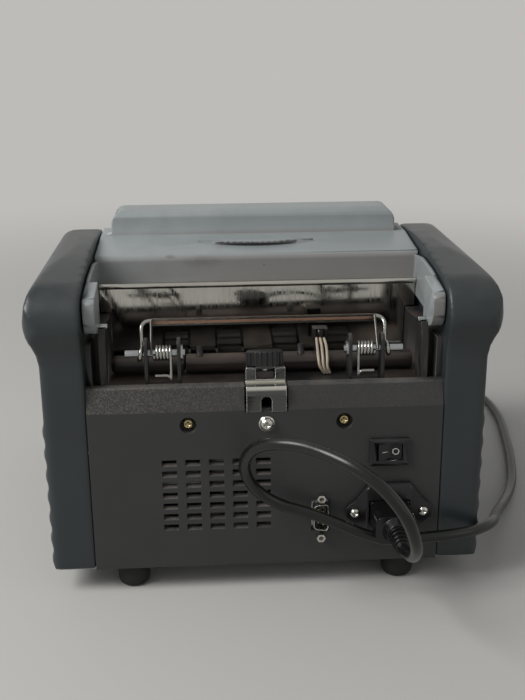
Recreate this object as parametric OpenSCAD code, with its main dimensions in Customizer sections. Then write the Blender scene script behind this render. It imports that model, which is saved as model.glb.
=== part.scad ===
// Banknote counting machine: rear hopper, belt-driven feed, front stacker.
// Millimetres. +Z is up, the operator sits on the -Y side, and left and right are the operator's.
// The origin is on the table under the middle of the machine.

/* [Body] */
// Overall width across the upper bands of the side covers
body_w = 265; // [250:1:320]
// Overall depth, from the stacker lip to the back of the side covers
body_d = 248; // [244:1:300]
// Overall height, from the table to the top of the display housing
body_h = 203.5; // [196:0.5:250]
// Thickness of a side cover, from its lower outer face to the hopper
side_t = 26; // [24:1:32]
// How far the upper band of a side cover stands out
flare = 6; // [4:0.5:8]
// Wall of the moulded covers
wall = 2.5; // [2:0.1:3]
// Height of a rubber foot
foot_h = 14; // [8:1:18]
// Diameter of a rubber foot
foot_d = 19; // [14:1:24]

/* [Hopper] */
// Depth of the hopper, from the rear panel to the note plate
hopper_d = 78; // [76:1:84]
// Height of the hopper floor below the top of the housing
deck_drop = 81.5; // [79:0.5:86]
// Thickness of the steel note plate
plate_t = 1; // [0.8:0.1:1.5]
// Distance between the middles of the two bail springs
spring_gap = 115; // [100:1:124]
// Diameter of the stub shafts that carry the bail
bail_shaft_d = 4; // [3:0.1:5]
// Diameter of the gap knob
knob_d = 21.5; // [16:0.5:24]

/* [Transport] */
// Diameter of the three transport shafts
shaft_d = 8; // [6:0.5:10]
// Radial clearance of a turning shaft in its bearing
shaft_fit = 0.05; // [0.03:0.01:0.1]
// Diameter of a pickup roller
pickup_d = 32; // [28:1:33]
// Diameter of a feed drum roller
drum_d = 44; // [38:1:45]
// Diameter of a stacking wheel
stack_d = 66; // [56:1:68]
// Vanes on a stacking wheel
vanes = 12; // [8:1:14]

/* [Rear panel] */
// Columns of vent slots
vent_cols = 5; // [3:1:5]
// Rows of vent slots
vent_rows = 7; // [4:1:7]
// Width of a vent slot
vent_w = 8.4; // [5:0.1:10]
// Height of a vent slot
vent_h = 2.6; // [2:0.1:4]

/* [Hidden] */

// Levels and faces
half_w = body_w / 2 - flare;
inner = half_w - side_t;
y_back = body_d / 2;
y_rear = y_back - flare;
y_front = -body_d / 2;
z_shoulder = body_h - 13.5;
z_deck = body_h - deck_drop;
z_panel = z_deck + 4.4;
z_band = body_h - 53.5;
z_hem = body_h - 36.5;
rib_h = 1.5;
// Soft step of a side cover's upper band: [share of the flare, height from the band level]
ledge = [[0, -8], [0.14, -2], [0.45, 4], [0.86, 10], [1, 15]];
skin_x = half_w - rib_h - wall;
fit = 0.3;

// Depth measured forwards from the rear panel
function at(d) = y_rear - d;

// Transport axes, [y, z]
pickup_c = [at(56), z_deck - 15];
drum_c = [at(104), z_deck - 30];
stack_c = [at(167), z_deck - 48];
motor_c = [at(50), foot_h + 36];
hinge_c = [at(190), body_h - 47.5];

// Mains lead. The first points start at the inlet, the others at the foot of the left cover's rear edge
cord_d = 6.6;
loop_points = [[0, 48, 0], [-0.1, 52.7, 1.7], [-0.6, 68.6, 8.1], [1.1, 81.7, 21.6], [8, 87.5, 40.3],
    [19, 85.1, 54.8], [31.4, 77.8, 63], [43.2, 67.9, 66], [55.1, 56, 66.1], [67.3, 46.9, 64.1],
    [76.6, 38, 59.2], [82.8, 29.3, 50.6], [84.5, 21.7, 39.4], [81.1, 15.8, 27.6], [73.3, 12, 17.4],
    [62.1, 10.4, 10], [46.9, 10.5, 4.5], [31, 12.1, -1.9], [17.1, 13.4, -8], [5.4, 14.8, -11.1],
    [-5.5, 15.6, -11.7], [-17.4, 15.8, -10.6], [-33.2, 14.3, -10.3]];
floor_points = [[8.1, 8.8, 36.6], [-4.1, -1.4, 34.6], [-12.1, -14.7, 30.7], [-20, -36.2, 22.9],
    [-32, -64, 14], [-46, -94, 7], [-57.9, -123.6, 3.9], [-67.9, -159.7, 3.6], [-76, -200, 3.5],
    [-83, -245, 3.5], [-82, -284, 3.5], [-72, -316, 3.5], [-50, -344, 3.5], [-20, -360, 3.5],
    [16, -364.3, 3.5], [56, -364.3, 3.5]];
coil_c = [-half_w + 56, y_rear - 323];
coil_mid = 38;
coil_band = 14;
coil_h = 20;
plug_lie = coil_mid + 3.3;
plug_x = 29.6;
plug_z = 11.6;

frame_x = inner - 7.5;
frame_t = 2;
belt_w = 5;

// ---------- shared shapes ----------

function arc(cx, cy, r, a0, a1, n = 8) =
    [for (i = [0:n]) [cx + r * cos(a0 + (a1 - a0) * i / n), cy + r * sin(a0 + (a1 - a0) * i / n)]];

// An outline drawn in Y and Z, made solid from x0 to x1
module xprism(x0, x1) {
    translate([x0, 0, 0]) rotate([90, 0, 90]) linear_extrude(x1 - x0) children();
}

// An outline drawn in X and Z, made solid from y0 to y1
module yprism(y0, y1) {
    translate([0, y1, 0]) rotate([90, 0, 0]) linear_extrude(y1 - y0) children();
}

// An outline drawn in X and Y, made solid from z0 to z1
module zprism(z0, z1) {
    translate([0, 0, z0]) linear_extrude(z1 - z0) children();
}

// A round bar along X
module xrod(x0, x1, c, d) {
    translate([x0, c[0], c[1]]) rotate([0, 90, 0]) cylinder(h = x1 - x0, d = d, $fn = 64);
}

// A round bar along Y
module yrod(y0, y1, x, z, d) {
    translate([x, y1, z]) rotate([90, 0, 0]) cylinder(h = y1 - y0, d = d, $fn = 64);
}

// A flat rectangle with round corners, centred
module round_rect(w, h, r) {
    square([w - 2 * r, h], center = true);
    square([w, h - 2 * r], center = true);
    for (sx = [-1, 1], sy = [-1, 1])
        translate([sx * (w / 2 - r), sy * (h / 2 - r)]) circle(r, $fn = 48);
}

module mirrored() {
    children();
    mirror([1, 0, 0]) children();
}

// ---------- side covers ----------

// Side view of a cover, Y to the rear and Z up
module side_outline(rear_y) {
    crown = 24;
    polygon(concat(
        [[y_front + 8, foot_h]],
        arc(rear_y - 3, foot_h + 3, 3, -90, 0, 4),
        arc(rear_y - crown, z_shoulder - 5 - crown, crown, 0, 80, 10),
        [[at(44), z_shoulder - 2], [at(62), z_shoulder], [at(84), z_shoulder + 1]],
        [[at(108), z_shoulder + 0.6], [at(136), z_shoulder - 0.9]],
        arc(at(140), z_shoulder - 21, 20, 92, 122, 4),
        [[at(192), z_shoulder - 28], [at(201), z_shoulder - 36], [at(206), z_shoulder - 46]],
        [[at(207), z_deck + 6]],
        arc(y_front + 24, z_deck - 30, 24, 62, 180, 9),
        arc(y_front + 8, foot_h + 8, 8, 180, 270, 5)));
}

// Rear view of the lower part: flat face with seven rounded ribs
module ribbed_outline() {
    rib_r = 9;
    pitch = (z_band - foot_h) / 10.2;
    translate([inner, foot_h]) square([side_t - rib_h, z_band - foot_h]);
    for (i = [0:6])
        translate([half_w - rib_r, foot_h + pitch * (i + 0.5)]) circle(rib_r, $fn = 64);
}

// Rear view of the flared upper band
module band_outline(x_out) {
    top_r = 15;
    polygon(concat(
        [[inner, z_band - 8]],
        [for (s = ledge) [half_w - rib_h + (x_out - half_w + rib_h) * s[0], z_band + s[1]]],
        arc(x_out - top_r - 2, z_shoulder - top_r - 1, top_r, 0, 80, 8),
        [[inner + 6, z_shoulder + 2], [inner, z_shoulder + 2]]));
}

// Plan of a cover, narrowing a little towards the front
module plan_outline(x_out, rear_y, r) {
    polygon(concat(
        [[inner, y_front]],
        arc(x_out - 1 - 16, y_front + 16, 16, -90, 0, 6),
        [[x_out - 1, at(170)], [x_out, at(70)]],
        arc(x_out - r, rear_y - r, r, 0, 90, 8),
        [[inner, rear_y]]));
}

module cover_solid() {
    intersection() {
        xprism(inner, half_w) side_outline(y_rear);
        yprism(y_front, y_rear) ribbed_outline();
        zprism(foot_h, z_band) plan_outline(half_w, y_rear, 6);
    }
    intersection() {
        xprism(inner, half_w + flare) side_outline(y_back);
        yprism(y_front, y_back) band_outline(half_w + flare);
        zprism(z_band - 8, z_shoulder + 3) plan_outline(half_w + flare, y_back, 11);
        xprism(inner, half_w + flare) polygon(concat(
            [[y_front, z_shoulder + 3], [y_front, z_band - 8]],
            [for (s = ledge) [y_rear + flare * s[0], z_band + s[1]]],
            [[y_back, z_shoulder + 3]]));
    }
}

// Hollow of a cover: open to the middle and below the hopper floor
module cover_hollow() {
    intersection() {
        xprism(inner - 1, skin_x) offset(delta = -wall) side_outline(y_rear);
        zprism(foot_h - 1, z_shoulder) translate([inner - 1, y_front + wall])
            square([skin_x - inner + 1, body_d - flare - 2 * wall]);
        yprism(y_front, y_rear) polygon([[inner - 1, foot_h - 1], [skin_x, foot_h - 1],
            [skin_x, z_shoulder - 14], [skin_x - 8, z_shoulder - wall - 2], [inner + wall,
                z_shoulder - wall - 2],
            [inner + wall, z_deck - 6], [inner - 1, z_deck - 6]]);
    }
    translate([inner - 1, y_front + 12, foot_h - 1])
        cube([skin_x - inner + 1, y_rear - wall - y_front - 12, wall + 2]);
}

module cover(hinge_hole = 5.1) {
    difference() {
        union() {
            difference() {
                cover_solid();
                cover_hollow();
            }
            xrod(inner, inner + 8, hinge_c, 12);
        }
        xrod(inner - 1, inner + 6.5, hinge_c, hinge_hole);
    }
}

module right_cover() {
    color("#3b4244") cover();
}

module left_cover() {
    color("#3b4244") mirror([1, 0, 0]) cover();
}

// ---------- chassis ----------

base_t = 1.5;
z_base = foot_h + base_t;

foot_x = 79.5;
foot_y = [at(12.5), y_front + 34];

module base_plate() {
    color("#8b8f90") difference() {
        union() {
            translate([-skin_x, y_front + 14, foot_h])
                cube([2 * skin_x, y_rear - 3 - y_front - 14, base_t]);
            translate([-inner, at(3) - base_t, foot_h]) cube([2 * inner, base_t, 9]);
            translate([-inner, y_front + 14, foot_h]) cube([2 * inner, base_t, 9]);
        }
        for (sx = [-1, 1], y = foot_y)
            translate([sx * foot_x, y, foot_h - 1]) cylinder(h = base_t + 2, d = 4, $fn = 32);
        for (i = [-4:4])
            translate([i * 12, at(84), foot_h - 1]) zprism(0, base_t + 2) round_rect(4, 44, 1.9);
    }
}

frame_front = 175;

// Pressed steel side plate with a foot flange, holes for the bearings and a lightening window
module frame() {
    difference() {
        union() {
            xprism(frame_x, frame_x + frame_t) difference() {
                polygon([[at(14), z_base], [at(14), z_deck - 8], [at(36), z_deck - 5.5], [at(80),
                    z_deck - 5.5],
                    [at(88), z_deck + 26], [at(128), z_deck + 30],
                    [at(160), z_deck + 6], [at(frame_front), z_deck - 28], [at(frame_front), z_base]]);
                for (c = [pickup_c, drum_c, stack_c]) translate(c) circle(d = 14, $fn = 48);
                translate(motor_c) circle(d = 13, $fn = 48);
                translate([at(112), foot_h + 30]) round_rect(34, 22, 8);
            }
            translate([frame_x - 10, at(frame_front), z_base])
                cube([10 + frame_t, frame_front - 14, frame_t]);
        }
        for (d = [28, 150]) translate([frame_x - 5, at(d), z_base - 1]) cylinder(h = 4, d = 3.4, $fn = 32);
    }
}

module right_frame() {
    color("#a3a7a8") frame();
}

module left_frame() {
    color("#a3a7a8") mirror([1, 0, 0]) frame();
}

tie_points = [[at(30), z_deck - 22], [at(138), z_deck + 12], [at(162), z_base + 6]];

module tie_rods() {
    color("#b5b9ba") for (c = tie_points) {
        xrod(-frame_x, frame_x, c, 6);
    }
}

module feet() {
    color("#141414") for (sx = [-1, 1], y = foot_y)
        translate([sx * foot_x, y, 0]) difference() {
            rotate_extrude($fn = 48) polygon(concat(
                [[0, 0]],
                [for (a = [0:15:90]) [foot_d / 2 - 3 + 3 * sin(a), 5 - 5 * cos(a)]],
                [[foot_d / 2 - 0.3, foot_h], [0, foot_h]]));
            translate([0, 0, -1]) cylinder(h = 6, d = 8, $fn = 48);
            translate([0, 0, 4]) cylinder(h = foot_h, d = 4, $fn = 32);
        }
}

module shaft_bearings() {
    color("#c8b26a") mirrored() for (c = [pickup_c, drum_c, stack_c]) difference() {
        union() {
            xrod(frame_x, frame_x + 4, c, 14);
            xrod(frame_x - 1.5, frame_x, c, 17);
        }
        xrod(frame_x - 2, frame_x + 5, c, shaft_d + 2 * shaft_fit);
    }
}

// ---------- rear panel ----------

panel_t = 3;
switch_c = [-inner * 0.7, z_deck - 37];
inlet_c = [-inner * 0.705, foot_h + 34];
port_c = [-inner * 0.31, foot_h + 31.5];
screw_z = z_panel - 22;
screw_x = 44.2;
vent_pitch_x = 13.4;
vent_pitch_z = 6.77;
vent_x = 2;
vent_z = foot_h + 27.4;
notch_w = 24.5;

// Profile of the panel: upright, with its top strip leaning forwards
module panel_profile() {
    polygon([[y_rear, foot_h + 1], [y_rear, z_panel - 14], [at(3.6), z_panel - 1], [at(4.6), z_panel],
        [at(9), z_panel], [at(9), z_panel - panel_t], [at(6.6), z_panel - panel_t],
        [at(panel_t), z_panel - 15.5], [at(panel_t), foot_h + 1]]);
}

module inlet_outline(w = 50, h = 36) {
    polygon([[-w / 2 + 13, h / 2], [w / 2 - 13, h / 2], [w / 2 - 6, 4 + h / 8], [w / 2, 3], [w / 2, -3],
        [w / 2 - 6, -4 - h / 8], [w / 2 - 10, -h / 2], [-w / 2 + 10, -h / 2], [-w / 2 + 6, -4 - h / 8],
        [-w / 2, -3], [-w / 2, 3], [-w / 2 + 6, 4 + h / 8]]);
}

module rear_panel() {
    color("#3a3a3c") difference() {
        union() {
            xprism(-inner, inner) panel_profile();
            for (sx = [-1, 1]) yrod(at(7), at(2), sx * screw_x, screw_z, 14);
            yrod(at(7), at(2), 0, screw_z, 12);
        }
        for (sx = [-1, 1]) {
            yrod(at(4), at(-1), sx * screw_x, screw_z, 9.5);
            yrod(at(8), at(-1), sx * screw_x, screw_z, 3.4);
        }
        yrod(at(8), at(-1), 0, screw_z, 3.4);
        for (i = [0:vent_cols - 1], j = [0:vent_rows - 1])
            translate([vent_x + i * vent_pitch_x, 0, vent_z + j * vent_pitch_z]) {
                yprism(at(4), at(-1)) square([vent_w, vent_h], center = true);
                xprism(-vent_w / 2, vent_w / 2)
                    polygon([[at(-1), -vent_h / 2 - 1.8], [at(-1), 0], [at(2), 0], [at(2), -vent_h / 2]]);
            }
        translate([switch_c[0], 0, switch_c[1]]) yprism(at(4), at(-1)) square([19.2, 13], center = true);
        translate([port_c[0], 0, port_c[1]]) yprism(at(4), at(-1)) square([11, 19.5], center = true);
        for (sz = [-1, 1]) yrod(at(4), at(-1), port_c[0], port_c[1] + sz * 12.5, 3.2);
        translate([inlet_c[0], 0, inlet_c[1]]) yprism(at(4), at(-1)) square([28, 31], center = true);
        for (sx = [-1, 1]) yrod(at(4), at(-1), inlet_c[0] + sx * 20, inlet_c[1], 3.2);
        // Recess of the gap bracket over the top edge
        translate([-notch_w / 2, at(1), z_panel - 15]) cube([notch_w, 3, 18]);
        translate([-notch_w / 2, at(10), z_panel - 1.5]) cube([notch_w, 12, 5]);
        translate([-notch_w / 2, at(5), z_panel - 13.5]) cube([notch_w, 6, 14]);
    }
}

// Pan-head screw pointing into the panel, its head's seat at the given depth
module pan_screw(x, z, seat_d, head_d, head_h, shank_d, len) {
    y = at(seat_d);
    difference() {
        union() {
            yrod(y - len, y + 0.01, x, z, shank_d);
            translate([x, y, z]) rotate([-90, 0, 0]) cylinder(h = head_h * 0.45, d = head_d, $fn = 48);
            translate([x, y + head_h * 0.45, z]) rotate([-90, 0, 0])
                cylinder(h = head_h * 0.55, d1 = head_d, d2 = head_d * 0.6, $fn = 48);
        }
        translate([x, y + head_h, z]) cube([head_d * 0.5, head_h, head_d * 0.13], center = true);
        translate([x, y + head_h, z]) cube([head_d * 0.13, head_h, head_d * 0.5], center = true);
    }
}

module panel_screws() {
    color("#c3b48a") for (sx = [-1, 1]) pan_screw(sx * screw_x, screw_z, 4, 7, 2.4, 3.2, 9);
}

module centre_screw() {
    color("#c9c9c6") union() {
        pan_screw(0, screw_z, -0.8, 7.4, 2.8, 3.2, 11);
        difference() {
            yrod(y_rear, y_rear + 0.8, 0, screw_z, 9);
            yrod(y_rear - 1, y_rear + 2, 0, screw_z, 3.2);
        }
    }
}

// ---------- switch, port and inlet ----------

rocker_w = 14.6;
rocker_h = 10;
rocker_y = y_rear - 1.2;

module switch_body() {
    color("#17181a") translate([switch_c[0], 0, switch_c[1]]) difference() {
        union() {
            yprism(y_rear, y_rear + 2) round_rect(23, 16.5, 1);
            yprism(y_rear - 14, y_rear) square([18.8, 12.6], center = true);
        }
        yprism(y_rear - 8, y_rear + 3) square([rocker_w + 0.6, rocker_h + 0.6], center = true);
    }
    color("#17181a") translate([switch_c[0], rocker_y, switch_c[1] - 6]) cylinder(h = 12, d = 2, $fn = 32);
}

// Double-wing rocker, drawn with its left wing pressed, turning about a pin along Z
module switch_rocker() {
    color("#1c1d20") translate([switch_c[0], rocker_y, switch_c[1]]) {
        difference() {
            zprism(-rocker_h / 2, rocker_h / 2) rotate(8)
                polygon([[-6.9, -3], [6.9, -3], [7, 2], [6.7, 3.2], [0, 1.4], [-6.7, 3.2], [-7, 2]]);
            translate([0, 0, -6]) cylinder(h = 12, d = 2.2, $fn = 32);
        }
    }
}

module serial_port() {
    color("#c2c4c4") translate([port_c[0], 0, port_c[1]]) difference() {
        union() {
            yprism(y_rear - 4, y_rear - 3) round_rect(12.5, 30.8, 2);
            yprism(y_rear - 3.2, y_rear + 4) polygon([[-4.6, -8.4], [3.2, -9], [4.6, -7.6], [4.6, 7.6],
                [3.2, 9], [-4.6, 8.4]]);
            yprism(y_rear - 12, y_rear - 3.9) square([10.5, 19], center = true);
        }
        yprism(y_rear - 2, y_rear + 5) polygon([[-4, -7.8], [2.9, -8.3], [4, -7.2], [4, 7.2], [2.9,
            8.3], [-4, 7.8]]);
        for (sz = [-1, 1]) yrod(y_rear - 5, y_rear, 0, sz * 12.5, 3);
    }
}

module port_screws() {
    color("#b99d55") for (sz = [-1, 1]) translate([port_c[0], y_rear, port_c[1] + sz * 12.5])
        rotate([-90, 0, 0])
        difference() {
            union() {
                cylinder(h = 5, d = 5.4, $fn = 6);
                translate([0, 0, -9]) cylinder(h = 9, d = 2.9, $fn = 32);
            }
            translate([0, 0, 1]) cylinder(h = 5, d = 2.6, $fn = 32);
        }
}

inlet_t = 3.2;

module power_inlet() {
    color("#151517") translate([inlet_c[0], 0, inlet_c[1]]) difference() {
        union() {
            yprism(y_rear, y_rear + inlet_t) inlet_outline();
            yprism(y_rear, y_rear + inlet_t + 1.2) translate([0, 1.5]) round_rect(27, 29, 2);
            yprism(y_rear - 22, y_rear) square([27, 30], center = true);
        }
        // Socket for the appliance plug
        translate([0, 0, 0]) yprism(y_rear - 15, y_rear + 6)
            polygon([[-8.5, -8], [8.5, -8], [12, -4.5], [12, 8], [-12, 8], [-12, -4.5]]);
        for (sx = [-1, 1]) yrod(y_rear - 1, y_rear + 6, sx * 20, 0, 3.3);
        // Slot of the fuse drawer
        translate([0, 12.8]) yprism(y_rear + inlet_t + 0.5, y_rear + 6) square([20, 1.2], center = true);
    }
    // Three contact blades
    color("#b9bcbd") translate([inlet_c[0], 0, inlet_c[1]]) {
        for (sx = [-1, 1]) translate([sx * 7 - 1, y_rear - 16, -3]) cube([2, 13, 4]);
        translate([-1, y_rear - 16, 1.5]) cube([2, 13, 4]);
    }
}

module inlet_screws() {
    color("#c9b98a") for (sx = [-1, 1])
        pan_screw(inlet_c[0] + sx * 20, inlet_c[1], -inlet_t, 5.6, 2, 3.1, 9);
}

// ---------- hopper ----------

bed_t = 3;
guide_d = 4;
guide_x = 30;
carriage_x = 7;

// Frame of a guide pin, parallel to the gap stud, the origin on the hopper floor
module on_guide(side) {
    translate([carriage_x + side * guide_x, carriage_c[0] + 2, z_deck])
        rotate([knob_lean, 0, 0]) children();
}

roller_xs = [-52, -18, 18, 52];
roller_w = 15;

module hopper_bed() {
    color("#3b322c") difference() {
        union() {
            // Floor, with a low step up towards the note path
            xprism(-inner, inner) polygon([[at(9), z_deck - bed_t], [at(9), z_deck], [at(70), z_deck],
                [at(72), z_deck - 2], [at(72), z_deck - bed_t - 1], [at(66), z_deck - bed_t - 1],
                    [at(64), z_deck - bed_t]]);
            // Side walls, thicker at the front
            for (sx = [-1, 1]) zprism(z_deck - 1, z_band) scale([sx, 1, 1])
                polygon([[inner, at(9)], [inner - 3.5, at(9)], [inner - 4, at(30)], [inner - 9, at(60)],
                    [inner - 9, at(74)], [inner, at(74)]]);
            // Seats of the latch pins
            for (sx = [-1, 1]) translate([sx * (inner - 9.5), 0, 0]) xprism(-2, 2)
                polygon([[at(12), z_deck - 1], [at(12), z_band - 1], [at(16), z_band + 7], [at(17.4),
                    z_band + 7],
                    [at(18), z_band + 4.6], [at(22), z_band + 4.6], [at(22.6), z_band + 7], [at(24),
                        z_band + 7],
                    [at(28), z_band - 1], [at(28), z_deck - 1]]);
            // Leaning guide pins of the gap carriage
            for (sx = [-1, 1]) on_guide(sx) translate([0, 0, -4]) cylinder(h = 20, d = guide_d, $fn = 32);
        }
        for (x = roller_xs) translate([x - roller_w / 2 - 1.5, at(77), z_deck - 8])
            cube([roller_w + 3, 32, 14]);
    }
}

bail_c = [at(14), z_deck + 21];
ear_t = 2;
ear_x = 9.2;

module spring_brackets() {
    color("#232323") for (sx = [-1, 1]) translate([sx * spring_gap / 2, 0, 0]) {
        difference() {
            for (s = [-1, 1]) translate([s * ear_x - ear_t / 2, 0, 0]) xprism(0, ear_t) {
                translate([bail_c[0] - 5, z_deck]) square([10, bail_c[1] - z_deck]);
                translate(bail_c) circle(5, $fn = 48);
            }
            xrod(-20, 20, bail_c, bail_shaft_d);
        }
        translate([-ear_x - ear_t / 2, bail_c[0] - 5, z_deck]) cube([2 * ear_x + ear_t, 9.6, ear_t]);
    }
}

stub_in = 12.5;
stub_out = 21;

module bail_shafts() {
    color("#c8cacb") for (sx = [-1, 1]) translate([sx * spring_gap / 2, 0, 0])
        xrod(sx > 0 ? -stub_in : -stub_out, sx > 0 ? stub_out : stub_in, bail_c, bail_shaft_d);
}

module shaft_clips() {
    color("#9c9c9a") for (sx = [-1, 1]) translate([sx * (spring_gap / 2 - ear_x - 1.6), 0,
        0]) difference() {
        xrod(-0.6, 0.6, bail_c, 9);
        xrod(-1, 1, bail_c, bail_shaft_d);
    }
}

coil_wire = 1.7;
coil_r = 3.7;
coil_turns = 5;

// Torsion spring: five rings on the stub shaft, one leg down to the bracket, one leg up to the bail
module torsion_spring() {
    pitch = coil_wire + 0.35;
    x0 = -pitch * (coil_turns - 1) / 2;
    for (i = [0:coil_turns - 1]) translate([x0 + i * pitch, bail_c[0], bail_c[1]]) rotate([0, 90, 0])
        rotate_extrude($fn = 32) translate([coil_r, 0]) circle(d = coil_wire, $fn = 14);
    translate([x0 - coil_wire / 2, bail_c[0], bail_c[1] - coil_r + 0.4]) rotate([0, 90, 0])
        cylinder(h = pitch * (coil_turns - 1) + coil_wire, d = 1, $fn = 16);
    translate([x0, bail_c[0] + coil_r - 0.3, z_deck + ear_t + 0.8])
        cylinder(h = bail_c[1] - z_deck - ear_t, d = coil_wire - 0.1, $fn = 20);
    xrod(x0, x0 + 9, [bail_c[0] + coil_r - 0.3, z_deck + ear_t + 0.8], coil_wire - 0.1);
}

module bail_springs() {
    color("#d3d5d6") {
        translate([spring_gap / 2, 0, 0]) torsion_spring();
        translate([-spring_gap / 2, 0, 0]) mirror([1, 0, 0]) torsion_spring();
    }
}

// Upper legs of the springs, which swing with the bail
module spring_legs() {
    rise = norm(bail_top - bail_c);
    color("#b4b6b7") for (sx = [-1, 1])
        translate([sx * (spring_gap / 2 + 6.3), bail_c[0], bail_c[1]]) rotate([bail_lean, 0, 0]) {
            translate([0, coil_r - 0.6, -2]) cylinder(h = rise + 1, d = 1.5, $fn = 20);
            translate([0, coil_r - 0.6, rise - 1]) rotate([90, 0, 0])
                cylinder(h = coil_r - bail_d / 2 - 2, d = 1.5, $fn = 20);
        }
}

bail_leg_x = spring_gap / 2 + 12;
bail_top = [at(27), z_deck + 36];
bail_d = 2.6;
bail_lean = atan2(bail_c[0] - bail_top[0], bail_top[1] - bail_c[1]);

module bail_wire() {
    rise = norm(bail_top - bail_c);
    color("#bcbdbb") union() {
        for (sx = [-1, 1]) {
            difference() {
                union() {
                    xrod(sx * bail_leg_x - 1.6, sx * bail_leg_x + 1.6, bail_c, 7.6);
                    translate([sx * bail_leg_x, bail_c[0], bail_c[1]]) rotate([bail_lean, 0, 0])
                        cylinder(h = rise, d = bail_d, $fn = 24);
                }
                xrod(-120, 120, bail_c, bail_shaft_d + 2 * shaft_fit);
            }
            translate([sx * bail_leg_x, bail_top[0], bail_top[1]]) sphere(d = bail_d, $fn = 24);
        }
        xrod(-bail_leg_x, bail_leg_x, bail_top, bail_d);
    }
}

module bail_bar() {
    color("#8a6a55") translate([0, bail_top[0], bail_top[1]]) {
        xprism(-bail_leg_x + 6, bail_leg_x - 6) difference() {
            translate([0.4, -0.4]) round_rect(3.8, 4, 0.8);
            circle(d = bail_d + 0.1, $fn = 24);
        }
    }
}

// ---------- gap adjuster ----------

knob_lean = 14;
knob_c = [at(15.6), z_deck + 12];
knob_h = 8.4;
stud_d = 4;
gap_travel = 1;
bracket_t = 1.4;
shelf_z = -2;

// The knob's own frame: Z along the leaning stud, the origin under the knob
module on_stud() {
    translate([0, knob_c[0], knob_c[1]]) rotate([knob_lean, 0, 0]) children();
}

module gap_knob() {
    flutes = 22;
    color("#121212") on_stud() difference() {
        union() {
            cylinder(h = knob_h - 1, d = knob_d, $fn = 64);
            translate([0, 0, knob_h - 1]) cylinder(h = 1, d1 = knob_d, d2 = knob_d - 2, $fn = 64);
        }
        for (i = [0:flutes - 1]) rotate(i * 360 / flutes)
            translate([knob_d / 2 + 0.35, 0, -1]) cylinder(h = knob_h + 2, d = 2, $fn = 20);
        translate([0, 0, -1]) cylinder(h = 6, d = stud_d, $fn = 32);
    }
}

module gap_stud() {
    color("#a9aaa8") on_stud() translate([0, 0, -9.8]) cylinder(h = 14.8, d = stud_d, $fn = 32);
}

// Bent plate: tongue on the leaning strip, bridge over the edge, web, leaning shelf with two ears
module gap_bracket() {
    w = 22.5;
    web_top = z_panel + 8;
    color("#c4c6c5") difference() {
        union() {
            xprism(-w / 2, w / 2) polygon([
                [at(1), z_panel - 15], [at(1) + bracket_t, z_panel - 15], [at(0.4) + bracket_t,
                    z_panel - 5],
                [at(1.6) + bracket_t, z_panel - 1.5 + bracket_t], [at(8), z_panel - 1.5 + bracket_t],
                [at(8), web_top], [at(8 + bracket_t), web_top], [at(8 + bracket_t), z_panel - 1.5],
                [at(2.2), z_panel - 1.5], [at(1), z_panel - 5]]);
            on_stud() translate([-w / 2 + 0.4, -8, shelf_z]) cube([w - 0.8, 15, bracket_t]);
        }
        // Notch that shows the stud, open to the rear
        translate([-5.4, at(11), z_panel + 1.6]) cube([10.8, 12, 12]);
        on_stud() translate([0, 0, -6]) cylinder(h = 8, d = stud_d + 2 * shaft_fit, $fn = 32);
        // Arched slot in the tongue
        translate([0, 0, z_panel - 15.5]) yprism(at(4), at(-4)) hull() {
            translate([-3, -1]) square([6, 2]);
            translate([0, 7]) circle(3, $fn = 32);
        }
    }
}

carriage_half = 38;
carriage_c = [at(40), z_deck + 5.8];
nut_top = shelf_z - gap_travel - 0.3;

// Rounded bar that rides on two guide pins, with a threaded block round the stud
module gap_carriage() {
    color("#3a2f29") difference() {
        union() {
            xprism(carriage_x - carriage_half, carriage_x + carriage_half)
                translate(carriage_c) round_rect(13, 9.2, 3.5);
            on_stud() translate([-5, -5, nut_top - 4]) cube([10, 9.4, 4]);
            translate([-4, at(35), z_deck + 4.4]) cube([8, 16, 3]);
        }
        on_stud() translate([0, 0, -20]) cylinder(h = 30, d = stud_d + 2 * shaft_fit, $fn = 32);
        for (sx = [-1, 1]) on_guide(sx) translate([0, 0, -2]) cylinder(h = 30, d = guide_d + 0.4, $fn = 32);
    }
}

clip_x = -36;
clip_y = at(58);

module sensor_clip() {
    color("#1b1b1d") union() {
        translate([clip_x - 3, clip_y - 3, z_deck]) cube([6, 6, 15]);
        translate([clip_x - 4.5, clip_y - 2.5, z_deck + 14]) difference() {
            cube([9, 8, 7]);
            for (i = [0:2]) translate([2.4 + 2.1 * i, 7.6, -1]) cylinder(h = 9, d = 1.5, $fn = 20);
        }
        translate([clip_x, clip_y + 5.5, z_deck + 18.6]) rotate([-90, 0, 0])
            cylinder(h = 1.4, d = 3.6, $fn = 32);
    }
}

// Three thin leads, hanging from the clip to the floor
module sensor_leads() {
    color("#c9bfa8") for (i = [-1:1]) translate([clip_x + 2.1 * i, clip_y + 5.1, z_deck + 0.6])
        cylinder(h = 15, d = 1.4, $fn = 16);
}

// ---------- transport ----------

// A shaft with its pulleys: list of [x from the middle, diameter]
module transport_shaft(c, x0, x1, pulleys) {
    union() {
        xrod(x0, x1, c, shaft_d);
        for (p = pulleys) {
            xrod(p[0] - belt_w / 2, p[0] + belt_w / 2, c, p[1]);
            for (s = [-1, 1]) xrod(p[0] + s * (belt_w / 2 + 0.6) - 0.6,
                p[0] + s * (belt_w / 2 + 0.6) + 0.6, c, p[1] + 4);
        }
    }
}

belt_x1 = frame_x + frame_t + 6.5;
belt_x2 = belt_x1 + 8;
motor_pulley_d = 16;
drum_pulley_d = 40;
feed_pulley_d = 24;
stack_pulley_d = 36;

module drum_shaft() {
    color("#b9bcbe") transport_shaft(drum_c, -belt_x1 - 4, belt_x2 + 4,
        [[belt_x1, drum_pulley_d], [belt_x2, feed_pulley_d], [-belt_x1, feed_pulley_d]]);
}

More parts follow.
